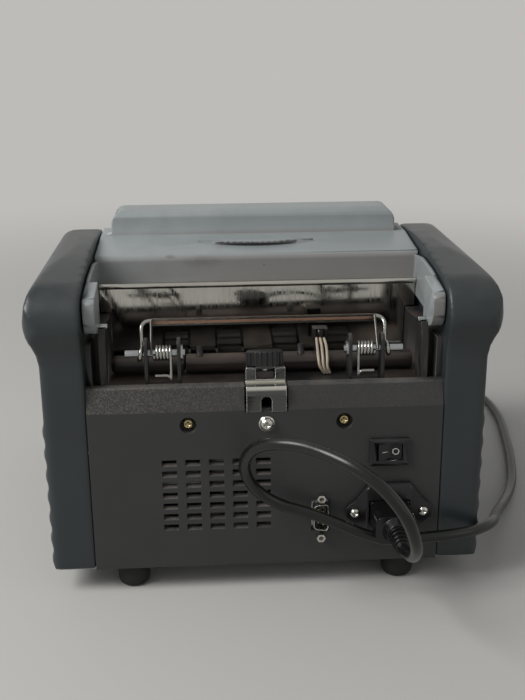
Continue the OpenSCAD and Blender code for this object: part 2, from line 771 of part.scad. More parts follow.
module pickup_shaft() {
    color("#b9bcbe") transport_shaft(pickup_c, -frame_x - frame_t - 3, belt_x2 + 4, [[belt_x2,
        feed_pulley_d]]);
}

module stacker_shaft() {
    color("#b9bcbe") transport_shaft(stack_c, -belt_x1 - 4, frame_x + frame_t + 3, [[-belt_x1,
        stack_pulley_d]]);
}

module pickup_rollers() {
    color("#2a2a2a") for (x = roller_xs) difference() {
        xrod(x - roller_w / 2, x + roller_w / 2, pickup_c, pickup_d);
        xrod(x - roller_w, x + roller_w, pickup_c, shaft_d);
        // Grip flutes round the tyre
        for (i = [0:17]) translate([0, pickup_c[0], pickup_c[1]]) rotate([i * 20, 0, 0])
            translate([x - roller_w / 2 - 1, 0, pickup_d / 2]) rotate([0, 90, 0])
                cylinder(h = roller_w + 2, d = 2, $fn = 14);
    }
}

module drum_rollers() {
    color("#5a5f63") for (x = [-60, -20, 20, 60]) difference() {
        union() {
            xrod(x - 11, x + 11, drum_c, drum_d);
            xrod(x - 14, x + 14, drum_c, shaft_d + 8);
        }
        xrod(x - 20, x + 20, drum_c, shaft_d);
        for (s = [-1, 1]) difference() {
            xrod(x + s * 9 - 3, x + s * 9 + 3, drum_c, drum_d - 6);
            xrod(x - 20, x + 20, drum_c, shaft_d + 8);
        }
    }
}

wheel_xs = [-66, -22, 22, 66];
wheel_w = 7;

module stacking_wheels() {
    hub = 22;
    color("#1f2326") for (x = wheel_xs) translate([x, stack_c[0], stack_c[1]])
        rotate([90, 0, 90]) difference() {
        union() {
            translate([0, 0, -wheel_w / 2 - 1]) cylinder(h = wheel_w + 2, d = hub, $fn = 48);
            translate([0, 0, -wheel_w / 2]) linear_extrude(wheel_w) for (i = [0:vanes - 1])
                rotate(i * 360 / vanes)
                intersection() {
                    circle(d = stack_d, $fn = 64);
                    translate([stack_d * 0.24, stack_d * 0.27]) difference() {
                        circle(r = stack_d * 0.37, $fn = 64);
                        circle(r = stack_d * 0.37 - 1.6, $fn = 64);
                        translate([-stack_d, -stack_d * 0.06]) square([2 * stack_d, 2 * stack_d]);
                        translate([-stack_d, -stack_d]) square([stack_d * 0.9, 2 * stack_d]);
                    }
                }
        }
        translate([0, 0, -20]) cylinder(h = 40, d = shaft_d, $fn = 48);
    }
}

module note_guide() {
    r = drum_d / 2 + 2.5;
    color("#26282a") union() {
        xprism(-frame_x, frame_x) translate(drum_c) difference() {
            circle(r + 2, $fn = 96);
            circle(r, $fn = 96);
            rotate(38) translate([0, -80]) square([80, 160]);
            translate([-80, 4]) square([160, 80]);
        }
    }
}

// Flat belt over two pulleys, a running gap inside it
module belt(c1, d1, c2, d2, x) {
    t = 1.4;
    xprism(x - belt_w / 2 + 0.4, x + belt_w / 2 - 0.4) difference() {
        hull() {
            translate(c1) circle(d = d1 + 2 * fit + 2 * t, $fn = 64);
            translate(c2) circle(d = d2 + 2 * fit + 2 * t, $fn = 64);
        }
        hull() {
            translate(c1) circle(d = d1 + 2 * fit, $fn = 64);
            translate(c2) circle(d = d2 + 2 * fit, $fn = 64);
        }
    }
}

module drive_belts() {
    color("#101112") {
        belt(motor_c, motor_pulley_d, drum_c, drum_pulley_d, belt_x1);
        belt(drum_c, feed_pulley_d, pickup_c, feed_pulley_d, belt_x2);
        belt(drum_c, feed_pulley_d, stack_c, stack_pulley_d, -belt_x1);
    }
}

motor_d = 37;
motor_l = 54;

module drive_motor() {
    color("#7d8183") difference() {
        union() {
            xrod(frame_x - motor_l, frame_x, motor_c, motor_d);
            xrod(frame_x - motor_l - 6, frame_x - motor_l, motor_c, 14);
            translate([frame_x - motor_l + 8, motor_c[0] - 8, z_base])
                cube([12, 16, motor_c[1] - z_base - 12]);
        }
        xrod(frame_x - 12, frame_x + 1, motor_c, 3.1);
    }
}

module motor_pulley() {
    color("#c9cbcc") union() {
        xrod(frame_x - 10, belt_x1 + 4, motor_c, 3);
        xrod(belt_x1 - belt_w / 2, belt_x1 + belt_w / 2, motor_c, motor_pulley_d);
        for (s = [-1, 1]) xrod(belt_x1 + s * 3.1 - 0.6, belt_x1 + s * 3.1 + 0.6, motor_c,
            motor_pulley_d + 3);
    }
}

module transformer() {
    color("#5c5650") translate([-46, at(84), z_base]) {
        difference() {
            translate([-26, -22, 0]) cube([52, 44, 46]);
            for (sx = [-1, 1]) translate([sx * 13 - 4.5, -30, 10]) cube([9, 60, 26]);
        }
        for (sx = [-1, 1]) translate([sx * 26 - (sx > 0 ? 0 : 9), -8, 0]) cube([9, 16, 2]);
    }
    color("#c7a15a") translate([-46, at(84), z_base + 10.2])
        for (sx = [-1, 1]) translate([sx * 13 - 4.3, -27, 0]) cube([8.6, 54, 25.6]);
}

module main_board() {
    bx = -10;
    color("#1f5a3a") translate([bx, at(150), z_base + 6]) cube([92, 64, 1.6]);
    color("#8f9394") for (x = [5, 87], y = [5, 59]) translate([bx + x, at(150) + y, z_base])
        cylinder(h = 6, d = 5, $fn = 24);
    color("#222222") {
        translate([bx + 12, at(150) + 12, z_base + 7.6]) cube([20, 20, 3]);
        translate([bx + 44, at(150) + 8, z_base + 7.6]) cube([24, 8, 6]);
        translate([bx + 46, at(150) + 30, z_base + 7.6]) cube([12, 20, 12]);
    }
    color("#3a4a7a") for (i = [0:2]) translate([bx + 70 + (i % 2) * 9, at(150) + 26 + i * 12, z_base + 7.6])
        cylinder(h = 14, d = 8, $fn = 32);
}

// ---------- stacker ----------

tray_half = inner - 0.3;
slot_w = wheel_w + 5;

module stacker_tray() {
    z0 = foot_h + 12;
    color("#2f3335") difference() {
        union() {
            // Back wall, sloping floor and front lip
            xprism(-tray_half, tray_half) polygon([
                [at(178), z_deck - 4], [at(178), z0 + 8], [y_front + 9, z0 + 2], [y_front + 5, z0 + 34],
                [y_front + 2, z0 + 36], [y_front, z0 + 34], [y_front, foot_h + 8], [y_front + 4, foot_h],
                [y_front + 13.7, foot_h], [y_front + 13.7, z0 - 2], [at(178) + wall, z0 + 4],
                    [at(178) + wall, z_deck - 4]]);
            for (sx = [-1, 1]) scale([sx, 1, 1]) xprism(tray_half - wall, tray_half) polygon([
                [at(178), z_deck - 4], [at(178), z0], [y_front + 2, z0], [y_front + 2, z0 + 34],
                    [y_front + 14, z0 + 52],
                [at(205), z_deck - 6]]);
        }
        for (x = wheel_xs) translate([x - slot_w / 2, at(222), z0 + 1]) cube([slot_w, 48, 83]);
        // Relief for the stacker pulley and its belt
        for (sx = [-1, 1]) translate([sx * (tray_half - 1.4) - 2, at(190), stack_c[1] - 23])
            cube([4, 17, 46]);
        // Finger notch in the lip
        translate([0, 0, z0 + 36]) yprism(y_front - 1, y_front + 12) scale([1.6, 1])
            circle(r = 22, $fn = 64);
    }
}

module front_bridge() {
    color("#3b4244") xprism(-tray_half, tray_half) polygon([
        [at(178) + wall, z_deck - 4], [at(178) + wall, z_deck + 8], [at(186), z_deck + 20],
        [at(192), z_deck + 24], [at(199), z_deck + 23], [at(205), z_deck + 15], [at(206.5), z_deck + 6],
        [at(204), z_deck + 6], [at(202.6), z_deck + 14], [at(198), z_deck + 20.4], [at(192.6),
            z_deck + 21.4],
        [at(188), z_deck + 18], [at(178), z_deck + 7], [at(178), z_deck - 4]]);
}

// ---------- top cover ----------

cover_half = inner - 1;
housing_half = inner * 0.92;
panel_tilt = 45;
cheek_t = 2;
block_t = 6.5;

// Side view of the low shell, from the hopper to the hinge
module low_shell() {
    polygon(concat(
        [[at(79), z_hem], [at(79), z_hem + 13]],
        arc(at(83), z_hem + 13.4, 4, 0, 72, 5),
        [[at(122), z_shoulder - 2], [at(150), z_shoulder - 2], [at(158), z_shoulder - 8]],
        arc(hinge_c[0], hinge_c[1], boss_r, 135, 270, 8),
        [[at(170), z_hem - 14], [at(140), z_hem]]));
}

// Side view of the raised housing behind the control panel
top_r = 7;
boss_r = 5.5;
top_c = [body_h - top_r - hinge_c[1] + hinge_c[0] + (top_r - boss_r) * sqrt(2), body_h - top_r];

module housing_shell() {
    polygon(concat(
        [[at(124), z_hem + 8]],
        arc(at(130), body_h - 6, 6, 10, 90, 6),
        arc(top_c[0], top_c[1], top_r, 90, 135, 4),
        [hinge_c + boss_r * [cos(135), sin(135)], [hinge_c[0] + 4, hinge_c[1] - 2], [at(150), z_hem]]));
}

// The control panel's own frame: Z out of the slope, Y up the slope, the origin at its middle
module on_slope() {
    mid = (top_c + hinge_c + (top_r + boss_r) * [cos(135), sin(135)]) / 2;
    translate([0, mid[0], mid[1]]) rotate([panel_tilt, 0, 0]) children();
}

key_w = 17;
key_l = 9;
key_xs = [-4, 24, 52];
key_vs = [-8.5, 8.5];
window_w = 62;
window_l = 30;
window_x = -52;

module top_cover() {
    grip_half = 37;
    color("#8b9090") difference() {
        union() {
            difference() {
                xprism(-cover_half, cover_half) low_shell();
                xprism(-cover_half + wall, cover_half - wall) offset(delta = -wall) low_shell();
                translate([-cover_half + wall, at(168), z_hem - 30])
                    cube([2 * cover_half - 2 * wall, 86, 32.6]);
            }
            difference() {
                intersection() {
                    xprism(-housing_half, housing_half) housing_shell();
                    translate([0, 0, (body_h + z_hem) / 2 - 20]) yprism(y_front, y_rear)
                        round_rect(2 * housing_half, body_h - z_hem + 40, 9);
                }
                xprism(-housing_half + wall, housing_half - wall) offset(delta = -wall) housing_shell();
                translate([-cover_half + wall, at(168), z_hem - 30])
                    cube([2 * cover_half - 2 * wall, 32, 40]);
            }
            // Raised finger grip, hollow under its rear edge
            translate([0, at(103), 0]) intersection() {
                zprism(z_shoulder - 8, z_shoulder - 0.4) intersection() {
                    translate([0, -68]) circle(r = 76, $fn = 96);
                    translate([-grip_half, -1.5]) square([2 * grip_half, 12]);
                }
                xprism(-grip_half, grip_half) polygon([[-2, z_shoulder - 6], [-2, z_shoulder - 2.4],
                    [4, z_shoulder - 1],
                    [8, z_shoulder - 1.4], [8, z_shoulder - 2.6], [4, z_shoulder - 3], [3,
                        z_shoulder - 6]]);
            }
            // Cheeks down the hopper sides, with a thick rounded block at the rear
            for (sx = [-1, 1]) scale([sx, 1, 1]) {
                xprism(cover_half - cheek_t, cover_half)
                    polygon([[at(84), z_hem + 14], [at(84), z_band + 8],
                    [at(30), z_band + 5.5], [at(26), z_band + 5.5], [at(26), z_band + 30.6],
                    [at(40), z_band + 32.4], [at(62), z_band + 33.6]]);
                xprism(cover_half - block_t, cover_half) polygon(concat(
                    [[at(29), z_band + 31], [at(29), z_band + 5.5]],
                    arc(at(15), z_band + 17, 11.5, 270, 360, 6),
                    arc(at(9), z_band + 22, 5.5, 0, 80, 4)));
            }
        }
        mirrored() xrod(cover_half - 5, cover_half + 1, hinge_c, 5);
        mirrored() xrod(inner - 12.5, cover_half - 3, [at(20), z_band + 7.6], 3);
        // Panel openings for the window and the keys
        on_slope() translate([window_x, 0, -8]) linear_extrude(12)
            square([window_w - 4, window_l - 4], center = true);
        on_slope() translate([window_x, 0, -1.2]) linear_extrude(4)
            square([window_w, window_l], center = true);
        on_slope() for (x = key_xs, v = key_vs) translate([x, v, -8])
            linear_extrude(12) round_rect(key_w + 0.8, key_l + 0.8, 2.4);
    }
}

plate_d = hopper_d - 4.5;

module note_plate() {
    half = cover_half - cheek_t - 0.5;
    low_half = inner - 9.6;
    z_step = z_band + 1;
    color("#a9a89e") union() {
        // Top flange that rests under the cover, with its folded edge
        xprism(-half, half) translate([at(84), z_hem - 1]) square([10.5, 1]);
        xprism(-half, half) translate([at(plate_d + plate_t), z_step]) square([plate_t, z_hem - z_step]);
        xprism(-low_half, low_half) polygon([[at(plate_d), z_step], [at(plate_d + plate_t), z_step],
            [at(hopper_d + plate_t), z_deck - 4], [at(hopper_d), z_deck - 4]]);
        xrod(-half, half, [at(plate_d - 0.9), z_hem], 3.6);
    }
}

module latch_pins() {
    color("#c5c7c8") mirrored() xrod(inner - 12.5, cover_half - 3, [at(20), z_band + 7.6], 3);
}

module hinge_pins() {
    color("#b9bbbc") mirrored() xrod(cover_half - 4, inner + 6, hinge_c, 5);
}

module display_window() {
    color("#1c2a2e") on_slope() translate([window_x, 0, -1.2]) linear_extrude(1.6)
        square([window_w, window_l], center = true);
}

key_lift = 1.6;

module key(x, v) {
    color("#c9ccca") on_slope() translate([x, v, 0]) {
        translate([0, 0, -1.6]) linear_extrude(1.6 + key_lift) round_rect(key_w, key_l, 2);
        translate([0, 0, -6.5]) linear_extrude(5) square([key_w - 6, key_l - 3], center = true);
    }
}

module key_1() { key(key_xs[0], key_vs[1]); }
module key_2() { key(key_xs[1], key_vs[1]); }
module key_3() { key(key_xs[2], key_vs[1]); }
module key_4() { key(key_xs[0], key_vs[0]); }
module key_5() { key(key_xs[1], key_vs[0]); }
module key_6() { key(key_xs[2], key_vs[0]); }

// ---------- mains lead ----------

plug_o = [inlet_c[0], y_rear, inlet_c[1]];
route = concat([for (p = loop_points) p + plug_o], [for (p = floor_points) p + [-half_w, y_rear, 0]]);

// Moulded appliance plug: nose in the inlet, grip, shoulder and ribbed strain relief
module appliance_plug() {
    relief_y = y_rear + 31;
    color("#101012") translate([plug_o[0], 0, plug_o[2]]) difference() {
        union() {
            yprism(y_rear - 12, y_rear + inlet_t + 2)
                polygon([[-8, -7.4], [8, -7.4], [11.4, -4.2], [11.4, 7.4], [-11.4, 7.4], [-11.4, -4.2]]);
            yprism(y_rear + inlet_t + 2, y_rear + 26) round_rect(23, 16.4, 4);
            translate([0, y_rear + 26, 0]) rotate([-90, 0, 0]) cylinder(h = 5, d1 = 16, d2 = 12, $fn = 48);
            for (i = [0:4]) translate([0, relief_y + i * 3.4, 0]) rotate([-90, 0, 0])
                cylinder(h = 2.2, d1 = 11.6 - i * 0.6, d2 = 11 - i * 0.6, $fn = 48);
            translate([0, relief_y, 0]) rotate([-90, 0, 0])
                cylinder(h = 17, d1 = 9.4, d2 = cord_d + 1, $fn = 48);
        }
        for (sx = [-1, 1]) translate([sx * 7 - 1.4, y_rear - 17, -3.4]) cube([2.8, 15, 4.8]);
        translate([-1.4, y_rear - 17, 1.1]) cube([2.8, 15, 4.8]);
    }
}

// Smooth curve through the route's points
function curve_point(a, b, c, d, t) = 0.5 * (2 * b + (c - a) * t + (2 * a - 5 * b + 4 * c - d) * t * t
    + (3 * b - a - 3 * c + d) * t * t * t);
function curve(p, n) = let (last = len(p) - 1) concat([for (i = [0:last - 1], k = [0:n - 1])
    curve_point(p[max(i - 1, 0)], p[i], p[i + 1], p[min(i + 2, last)], k / n)], [p[last]]);
function unit(v) = v / norm(v);
function tangents(p) = let (last = len(p) - 1)
    [for (i = [0:last]) unit(p[min(i + 1, last)] - p[max(i - 1, 0)])];
function carry(n, t) = unit(n - (n * t) * t);

module cord_run() {
    sides = 10;
    path = curve(route, 2);
    tan_list = tangents(path);
    count = len(path);
    normals = [for (i = 0, n = carry([0, 0, 1], tan_list[0]); i < count;
        i = i + 1, n = carry(n, tan_list[min(i, count - 1)])) n];
    rings = [for (i = [0:count - 1], k = [0:sides - 1])
        path[i] + cord_d / 2 * (cos(360 * k / sides) * normals[i]
            + sin(360 * k / sides) * cross(tan_list[i], normals[i]))];
    walls = [for (i = [0:count - 2], k = [0:sides - 1]) let (a = i * sides + k,
        b = i * sides + (k + 1) % sides)
        each [[a, b + sides, b], [a, a + sides, b + sides]]];
    start_cap = [[for (k = [0:sides - 1]) k]];
    end_cap = [[for (k = [sides - 1:-1:0]) (count - 1) * sides + k]];
    color("#0e0e10") polyhedron(points = rings, faces = concat(walls, start_cap, end_cap));
}

module cord_coil() {
    color("#0e0e10") translate([coil_c[0], coil_c[1], 0]) {
        translate([0, 0, 0.1]) rotate_extrude($fn = 64)
            translate([coil_mid - coil_band / 2, 0]) polygon([[2, 0], [coil_band - 2, 0], [coil_band, 2],
                [coil_band, coil_h - 2], [coil_band - 2, coil_h], [2, coil_h], [0, coil_h - 2], [0, 2]]);
        // End of the flex, on its way to the mains plug
        translate([12, -plug_lie, plug_z]) rotate([0, 90, 0]) cylinder(h = plug_x - 12, d = cord_d, $fn = 32);
    }
}

module mains_plug() {
    x0 = coil_c[0] + plug_x;
    color("#101012") translate([x0, coil_c[1] - plug_lie, plug_z]) {
        rotate([0, 90, 0]) cylinder(h = 30, d1 = cord_d + 1.4, d2 = 11, $fn = 48);
        translate([29, 0, 0]) rotate([90, 0, 90]) {
            linear_extrude(8) round_rect(20, 17, 5);
            translate([0, 0, 8]) linear_extrude(24) round_rect(27, 22, 6);
        }
    }
    color("#b9b18a") translate([x0 + 61, coil_c[1] - plug_lie, plug_z]) {
        for (s = [-1, 1]) translate([0, s * 6.35 - 0.75, 0.5]) cube([17, 1.5, 6.3]);
        translate([0, 0, -5.4]) rotate([0, 90, 0]) cylinder(h = 19, d = 4.8, $fn = 32);
    }
}

base_plate();
left_frame();
right_frame();
tie_rods();
left_cover();
right_cover();
rear_panel();
panel_screws();
hopper_bed();
stacker_tray();
front_bridge();
feet();
spring_brackets();
bail_shafts();
shaft_clips();
bail_springs();
gap_bracket();
centre_screw();
serial_port();
port_screws();
power_inlet();
inlet_screws();
switch_body();
switch_rocker();
sensor_clip();
sensor_leads();
shaft_bearings();
drive_motor();
transformer();
main_board();
note_guide();
drive_belts();
bail_wire();
bail_bar();
spring_legs();
gap_knob();
gap_stud();
gap_carriage();
pickup_shaft();
pickup_rollers();
drum_shaft();
drum_rollers();
stacker_shaft();
stacking_wheels();
motor_pulley();
top_cover();
note_plate();
latch_pins();
hinge_pins();
display_window();
key_1();
key_2();
key_3();
key_4();
key_5();
key_6();
appliance_plug();
cord_run();
cord_coil();
mains_plug();
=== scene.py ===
import math

import bpy
import numpy as np
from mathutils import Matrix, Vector


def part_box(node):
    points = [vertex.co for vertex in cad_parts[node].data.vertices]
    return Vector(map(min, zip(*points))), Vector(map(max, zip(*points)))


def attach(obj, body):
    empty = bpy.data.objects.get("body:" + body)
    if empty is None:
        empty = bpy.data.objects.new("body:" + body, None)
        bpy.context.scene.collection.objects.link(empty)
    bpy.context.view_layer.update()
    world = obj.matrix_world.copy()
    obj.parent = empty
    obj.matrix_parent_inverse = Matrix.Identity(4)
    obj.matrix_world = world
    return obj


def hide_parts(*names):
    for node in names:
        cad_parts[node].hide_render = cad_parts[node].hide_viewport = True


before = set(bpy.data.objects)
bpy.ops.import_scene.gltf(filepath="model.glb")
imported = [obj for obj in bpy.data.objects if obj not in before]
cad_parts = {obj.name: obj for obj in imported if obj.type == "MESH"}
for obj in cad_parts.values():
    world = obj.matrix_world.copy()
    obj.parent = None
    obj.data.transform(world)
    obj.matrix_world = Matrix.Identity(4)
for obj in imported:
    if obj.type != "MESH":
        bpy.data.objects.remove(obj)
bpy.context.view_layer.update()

# ---------- Camera ----------
# Looks at the machine's rear from a little above and to its right.
SENSOR, FOCAL_PIXELS, PICTURE_HEIGHT = 36, 1000, 700
photographer = bpy.data.cameras.new("photographer")
photographer.sensor_width = SENSOR
photographer.lens = SENSOR * FOCAL_PIXELS / PICTURE_HEIGHT
photographer.clip_start = 0.02
photographer.clip_end = 20
camera = bpy.data.objects.new("photographer", photographer)
bpy.context.scene.collection.objects.link(camera)
camera.location = (0.03172, 0.63959, 0.31965)
camera.rotation_euler = [math.radians(a) for a in (71.8055, 0.4085, 176.6107)]
bpy.context.scene.camera = camera

# ---------- Mains lead ----------
# Black PVC three-core flex with a moulded appliance plug at the machine and a moulded mains plug.
# It loops once behind the machine, lies on the table beside it and is coiled in front of it.
FLEX = 0.0066
INLET = Vector((-0.07085, 0.118, 0.048))
SIDE_FOOT = Vector((-0.1265, 0.118, 0))
# Points of the flex's middle line in millimetres, from the inlet and then from the foot of the side
loop = [(0, 48, 0), (-0.1, 52.7, 1.7), (-0.6, 68.6, 8.1), (1.1, 81.7, 21.6), (8, 87.5, 40.3),
        (19, 85.1, 54.8), (31.4, 77.8, 63), (43.2, 67.9, 66), (55.1, 56, 66.1), (67.3, 46.9, 64.1),
        (76.6, 38, 59.2), (82.8, 29.3, 50.6), (84.5, 21.7, 39.4), (81.1, 15.8, 27.6), (73.3, 12, 17.4),
        (62.1, 10.4, 10), (46.9, 10.5, 4.5), (31, 12.1, -1.9), (17.1, 13.4, -8), (5.4, 14.8, -11.1),
        (-5.5, 15.6, -11.7), (-17.4, 15.8, -10.6), (-33.2, 14.3, -10.3)]
lying = [(8.1, 8.8, 36.6), (-4.1, -1.4, 34.6), (-12.1, -14.7, 30.7), (-20, -36.2, 22.9), (-32, -64, 14),
         (-46, -94, 7), (-57.9, -123.6, 3.9), (-67.9, -159.7, 3.6), (-76, -200, 3.5), (-83, -245, 3.5),
         (-82, -284, 3.5), (-72, -316, 3.5), (-50, -344, 3.5), (-20, -360, 3.5), (16, -364.3, 3.5)]
lead_points = [INLET + Vector(p) / 1000 for p in loop] + [SIDE_FOOT + Vector(p) / 1000 for p in lying]

# The coil: angle from its front in turns, radius and height of the flex's middle in millimetres
STEPS_PER_TURN, LEAD_TURNS = 16, 4
coil_middle = Vector((-0.0705, -0.205, 0))
inner_turn, outer_turn, layer_1, layer_2, layer_3 = 34.7, 41.3, 3.5, 10.1, 16.7
coil_marks = [(0, outer_turn, layer_1), (0.8, outer_turn, layer_1), (1, inner_turn, layer_1),
              (1.8, inner_turn, layer_1), (2, inner_turn, layer_2), (2.8, inner_turn, layer_2),
              (3, outer_turn, layer_2), (3.8, outer_turn, layer_2), (4, outer_turn, layer_3)]
turn, radius, height = zip(*coil_marks)
for step in range(LEAD_TURNS * STEPS_PER_TURN + 1):
    at = step / STEPS_PER_TURN
    r, z = np.interp(at, turn, radius) / 1000, np.interp(at, turn, height) / 1000
    a = 2 * math.pi * (at - 0.25)
    lead_points.append(coil_middle + Vector((r * math.cos(a), r * math.sin(a), z)))
plug_end = ((0.014, -0.0413, 0.0163), (0.0296, -0.0413, 0.0116))
lead_points += [coil_middle + Vector(p) for p in plug_end]

flex_curve = bpy.data.curves.new("mains_flex", "CURVE")
flex_curve.dimensions = "3D"
flex_curve.resolution_u = 6
flex_curve.bevel_depth = FLEX / 2
flex_curve.bevel_resolution = 5
flex_curve.use_fill_caps = True
spline = flex_curve.splines.new("BEZIER")
spline.bezier_points.add(len(lead_points) - 1)
for i, point in enumerate(spline.bezier_points):
    before, after = lead_points[max(i - 1, 0)], lead_points[min(i + 1, len(lead_points) - 1)]
    reach = (after - before) / 6
    point.co = lead_points[i]
    point.handle_left = lead_points[i] - reach
    point.handle_right = lead_points[i] + reach
flex = bpy.data.objects.new("mains_flex", flex_curve)
bpy.context.scene.collection.objects.link(flex)


def linear(hex_colour):
    """An sRGB hex colour as the linear RGBA that a shader takes."""
    parts = [int(hex_colour[i:i + 2], 16) / 255 for i in (1, 3, 5)]
    return [p / 12.92 if p <= 0.04045 else ((p + 0.055) / 1.055) ** 2.4 for p in parts] + [1]


def add(tree, kind, settings={}, inputs={}):
    """Adds a node with its settings; each input is a value or another node's output."""
    node = tree.nodes.new(kind)
    for name, value in settings.items():
        setattr(node, name, value)
    for name, value in inputs.items():
        if isinstance(value, bpy.types.NodeSocket):
            tree.links.new(value, node.inputs[name])
        else:
            node.inputs[name].default_value = value
    return node


def moulded(name, colour, rough=0.45, grain=0.0009, grain_depth=0.00003, dust=0.1, edge_wear_and_highlight=0.25, edge=0.0007,
             dust_colour="#9a938a"):
    """Moulded plastic: spark-eroded grain, edges rounded and painted paler (wear, and with a high setting
    also a painted highlight), dust on what faces up.
    """
    material = bpy.data.materials.new(name)
    material.use_nodes = True
    tree = material.node_tree
    shader = tree.nodes["Principled BSDF"]
    place = add(tree, "ShaderNodeTexCoord").outputs["Object"]
    geometry = add(tree, "ShaderNodeNewGeometry")
    fine = add(tree, "ShaderNodeTexNoise", {},
               {"Vector": place, "Scale": 1 / grain, "Detail": 2.0}).outputs["Fac"]
    broad = add(tree, "ShaderNodeTexNoise", {},
                {"Vector": place, "Scale": 28.0, "Detail": 5.0, "Roughness": 0.6})
    smear = add(tree, "ShaderNodeMapRange", {},
                {"Value": broad.outputs["Fac"], "From Min": 0.42, "From Max": 0.7})
    soft = add(tree, "ShaderNodeBevel", {"samples": 4}, {"Radius": edge})
    turned = add(tree, "ShaderNodeVectorMath", {"operation": "DOT_PRODUCT"},
                 {0: soft.outputs["Normal"], 1: geometry.outputs["Normal"]})
    # Edges painted paler: partly wear, and where the setting is high a painted highlight
    edge_wear_and_highlight_mask = add(tree, "ShaderNodeMapRange", {},
                 {"Value": turned.outputs["Value"], "From Min": 0.995, "From Max": 0.8, "To Max": edge_wear_and_highlight})
    up = add(tree, "ShaderNodeSeparateXYZ", {}, {0: geometry.outputs["Normal"]})
    lying_dust = add(tree, "ShaderNodeMapRange", {},
                     {"Value": up.outputs["Z"], "From Min": 0.3, "From Max": 1.0, "To Max": dust})
    patchy = add(tree, "ShaderNodeMath", {"operation": "MULTIPLY"},
                 {0: lying_dust.outputs[0], 1: smear.outputs[0]})
    base = linear(colour)
    lighter = [min(1, c * 1.5 + 0.02) for c in base[:3]] + [1]
    darker = [c * 0.86 for c in base[:3]] + [1]
    tone = add(tree, "ShaderNodeMix", {"data_type": "RGBA"}, {0: smear.outputs[0], 6: darker, 7: base})
    worn = add(tree, "ShaderNodeMix", {"data_type": "RGBA"},
               {0: edge_wear_and_highlight_mask.outputs[0], 6: tone.outputs[2], 7: lighter})
    dusty = add(tree, "ShaderNodeMix", {"data_type": "RGBA"},
                {0: patchy.outputs[0], 6: worn.outputs[2], 7: linear(dust_colour)})
    gloss = add(tree, "ShaderNodeMapRange", {},
                {"Value": broad.outputs["Fac"], "From Min": 0.3, "From Max": 0.7, "To Min": rough - 0.05,
                 "To Max": rough + 0.07})
    bump = add(tree, "ShaderNodeBump", {}, {"Height": fine, "Distance": grain_depth, "Strength": 0.6,
                                            "Normal": soft.outputs["Normal"]})
    tree.links.new(dusty.outputs[2], shader.inputs["Base Color"])
    tree.links.new(gloss.outputs[0], shader.inputs["Roughness"])
    tree.links.new(bump.outputs[0], shader.inputs["Normal"])
    shader.inputs["IOR"].default_value = 1.5
    return material


def dress(material, *names):
    """Gives CAD nodes their finish."""
    for name in names:
        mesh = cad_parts[name].data
        mesh.materials.clear()
        mesh.materials.append(material)


# PVC sheath: soft, black, a low even sheen
pvc = moulded("extruded_pvc_black", "#0b0c0d", rough=0.25, grain=0.0012, grain_depth=0.00001, dust=0.03,
              edge_wear_and_highlight=0.02)
flex_curve.materials.append(pvc)
dress(pvc, "mains_plug", "appliance_plug")
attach(flex, "base")
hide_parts("cord_run", "cord_coil")

# Hook-and-loop tie round the coil: woven nylon, wrapped once and pressed onto itself
TIE_R, TIE_WIDE, TIE_THICK = 0.0115, 0.012, 0.0009
bpy.ops.mesh.primitive_circle_add(vertices=40, radius=TIE_R, location=(0, 0, 0), rotation=(0, math.pi / 2, 0))
tie = bpy.context.object
tie.name = "coil_tie"
bpy.ops.object.mode_set(mode="EDIT")
bpy.ops.mesh.select_all(action="SELECT")
bpy.ops.transform.resize(value=(1, 0.78, 0.92))
bpy.ops.mesh.extrude_region_move(TRANSFORM_OT_translate={"value": (TIE_WIDE, 0, 0)})
bpy.ops.mesh.select_all(action="SELECT")
bpy.ops.transform.translate(value=(coil_middle.x - TIE_WIDE / 2, coil_middle.y + 0.038, 0.0113))
bpy.ops.object.mode_set(mode="OBJECT")
band = tie.modifiers.new("band", "SOLIDIFY")
band.thickness, band.offset = TIE_THICK, 0
bpy.ops.object.modifier_apply(modifier="band")
bpy.ops.object.transform_apply(location=True, rotation=True, scale=True)
bpy.ops.object.shade_smooth_by_angle(angle=math.radians(35))
woven = moulded("woven_nylon_black", "#222222", rough=0.85, grain=0.0006, grain_depth=0.0001, dust=0.3)
tie.data.materials.append(woven)
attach(tie, "base")

# ---------- Base tray, side frames and tie rods ----------
# Pressed from zinc-plated sheet steel and riveted; the rods are turned bar with the same plating.
# Bluish-white plating gives soft reflections with a faint cloudy tone and a fine rolling direction.


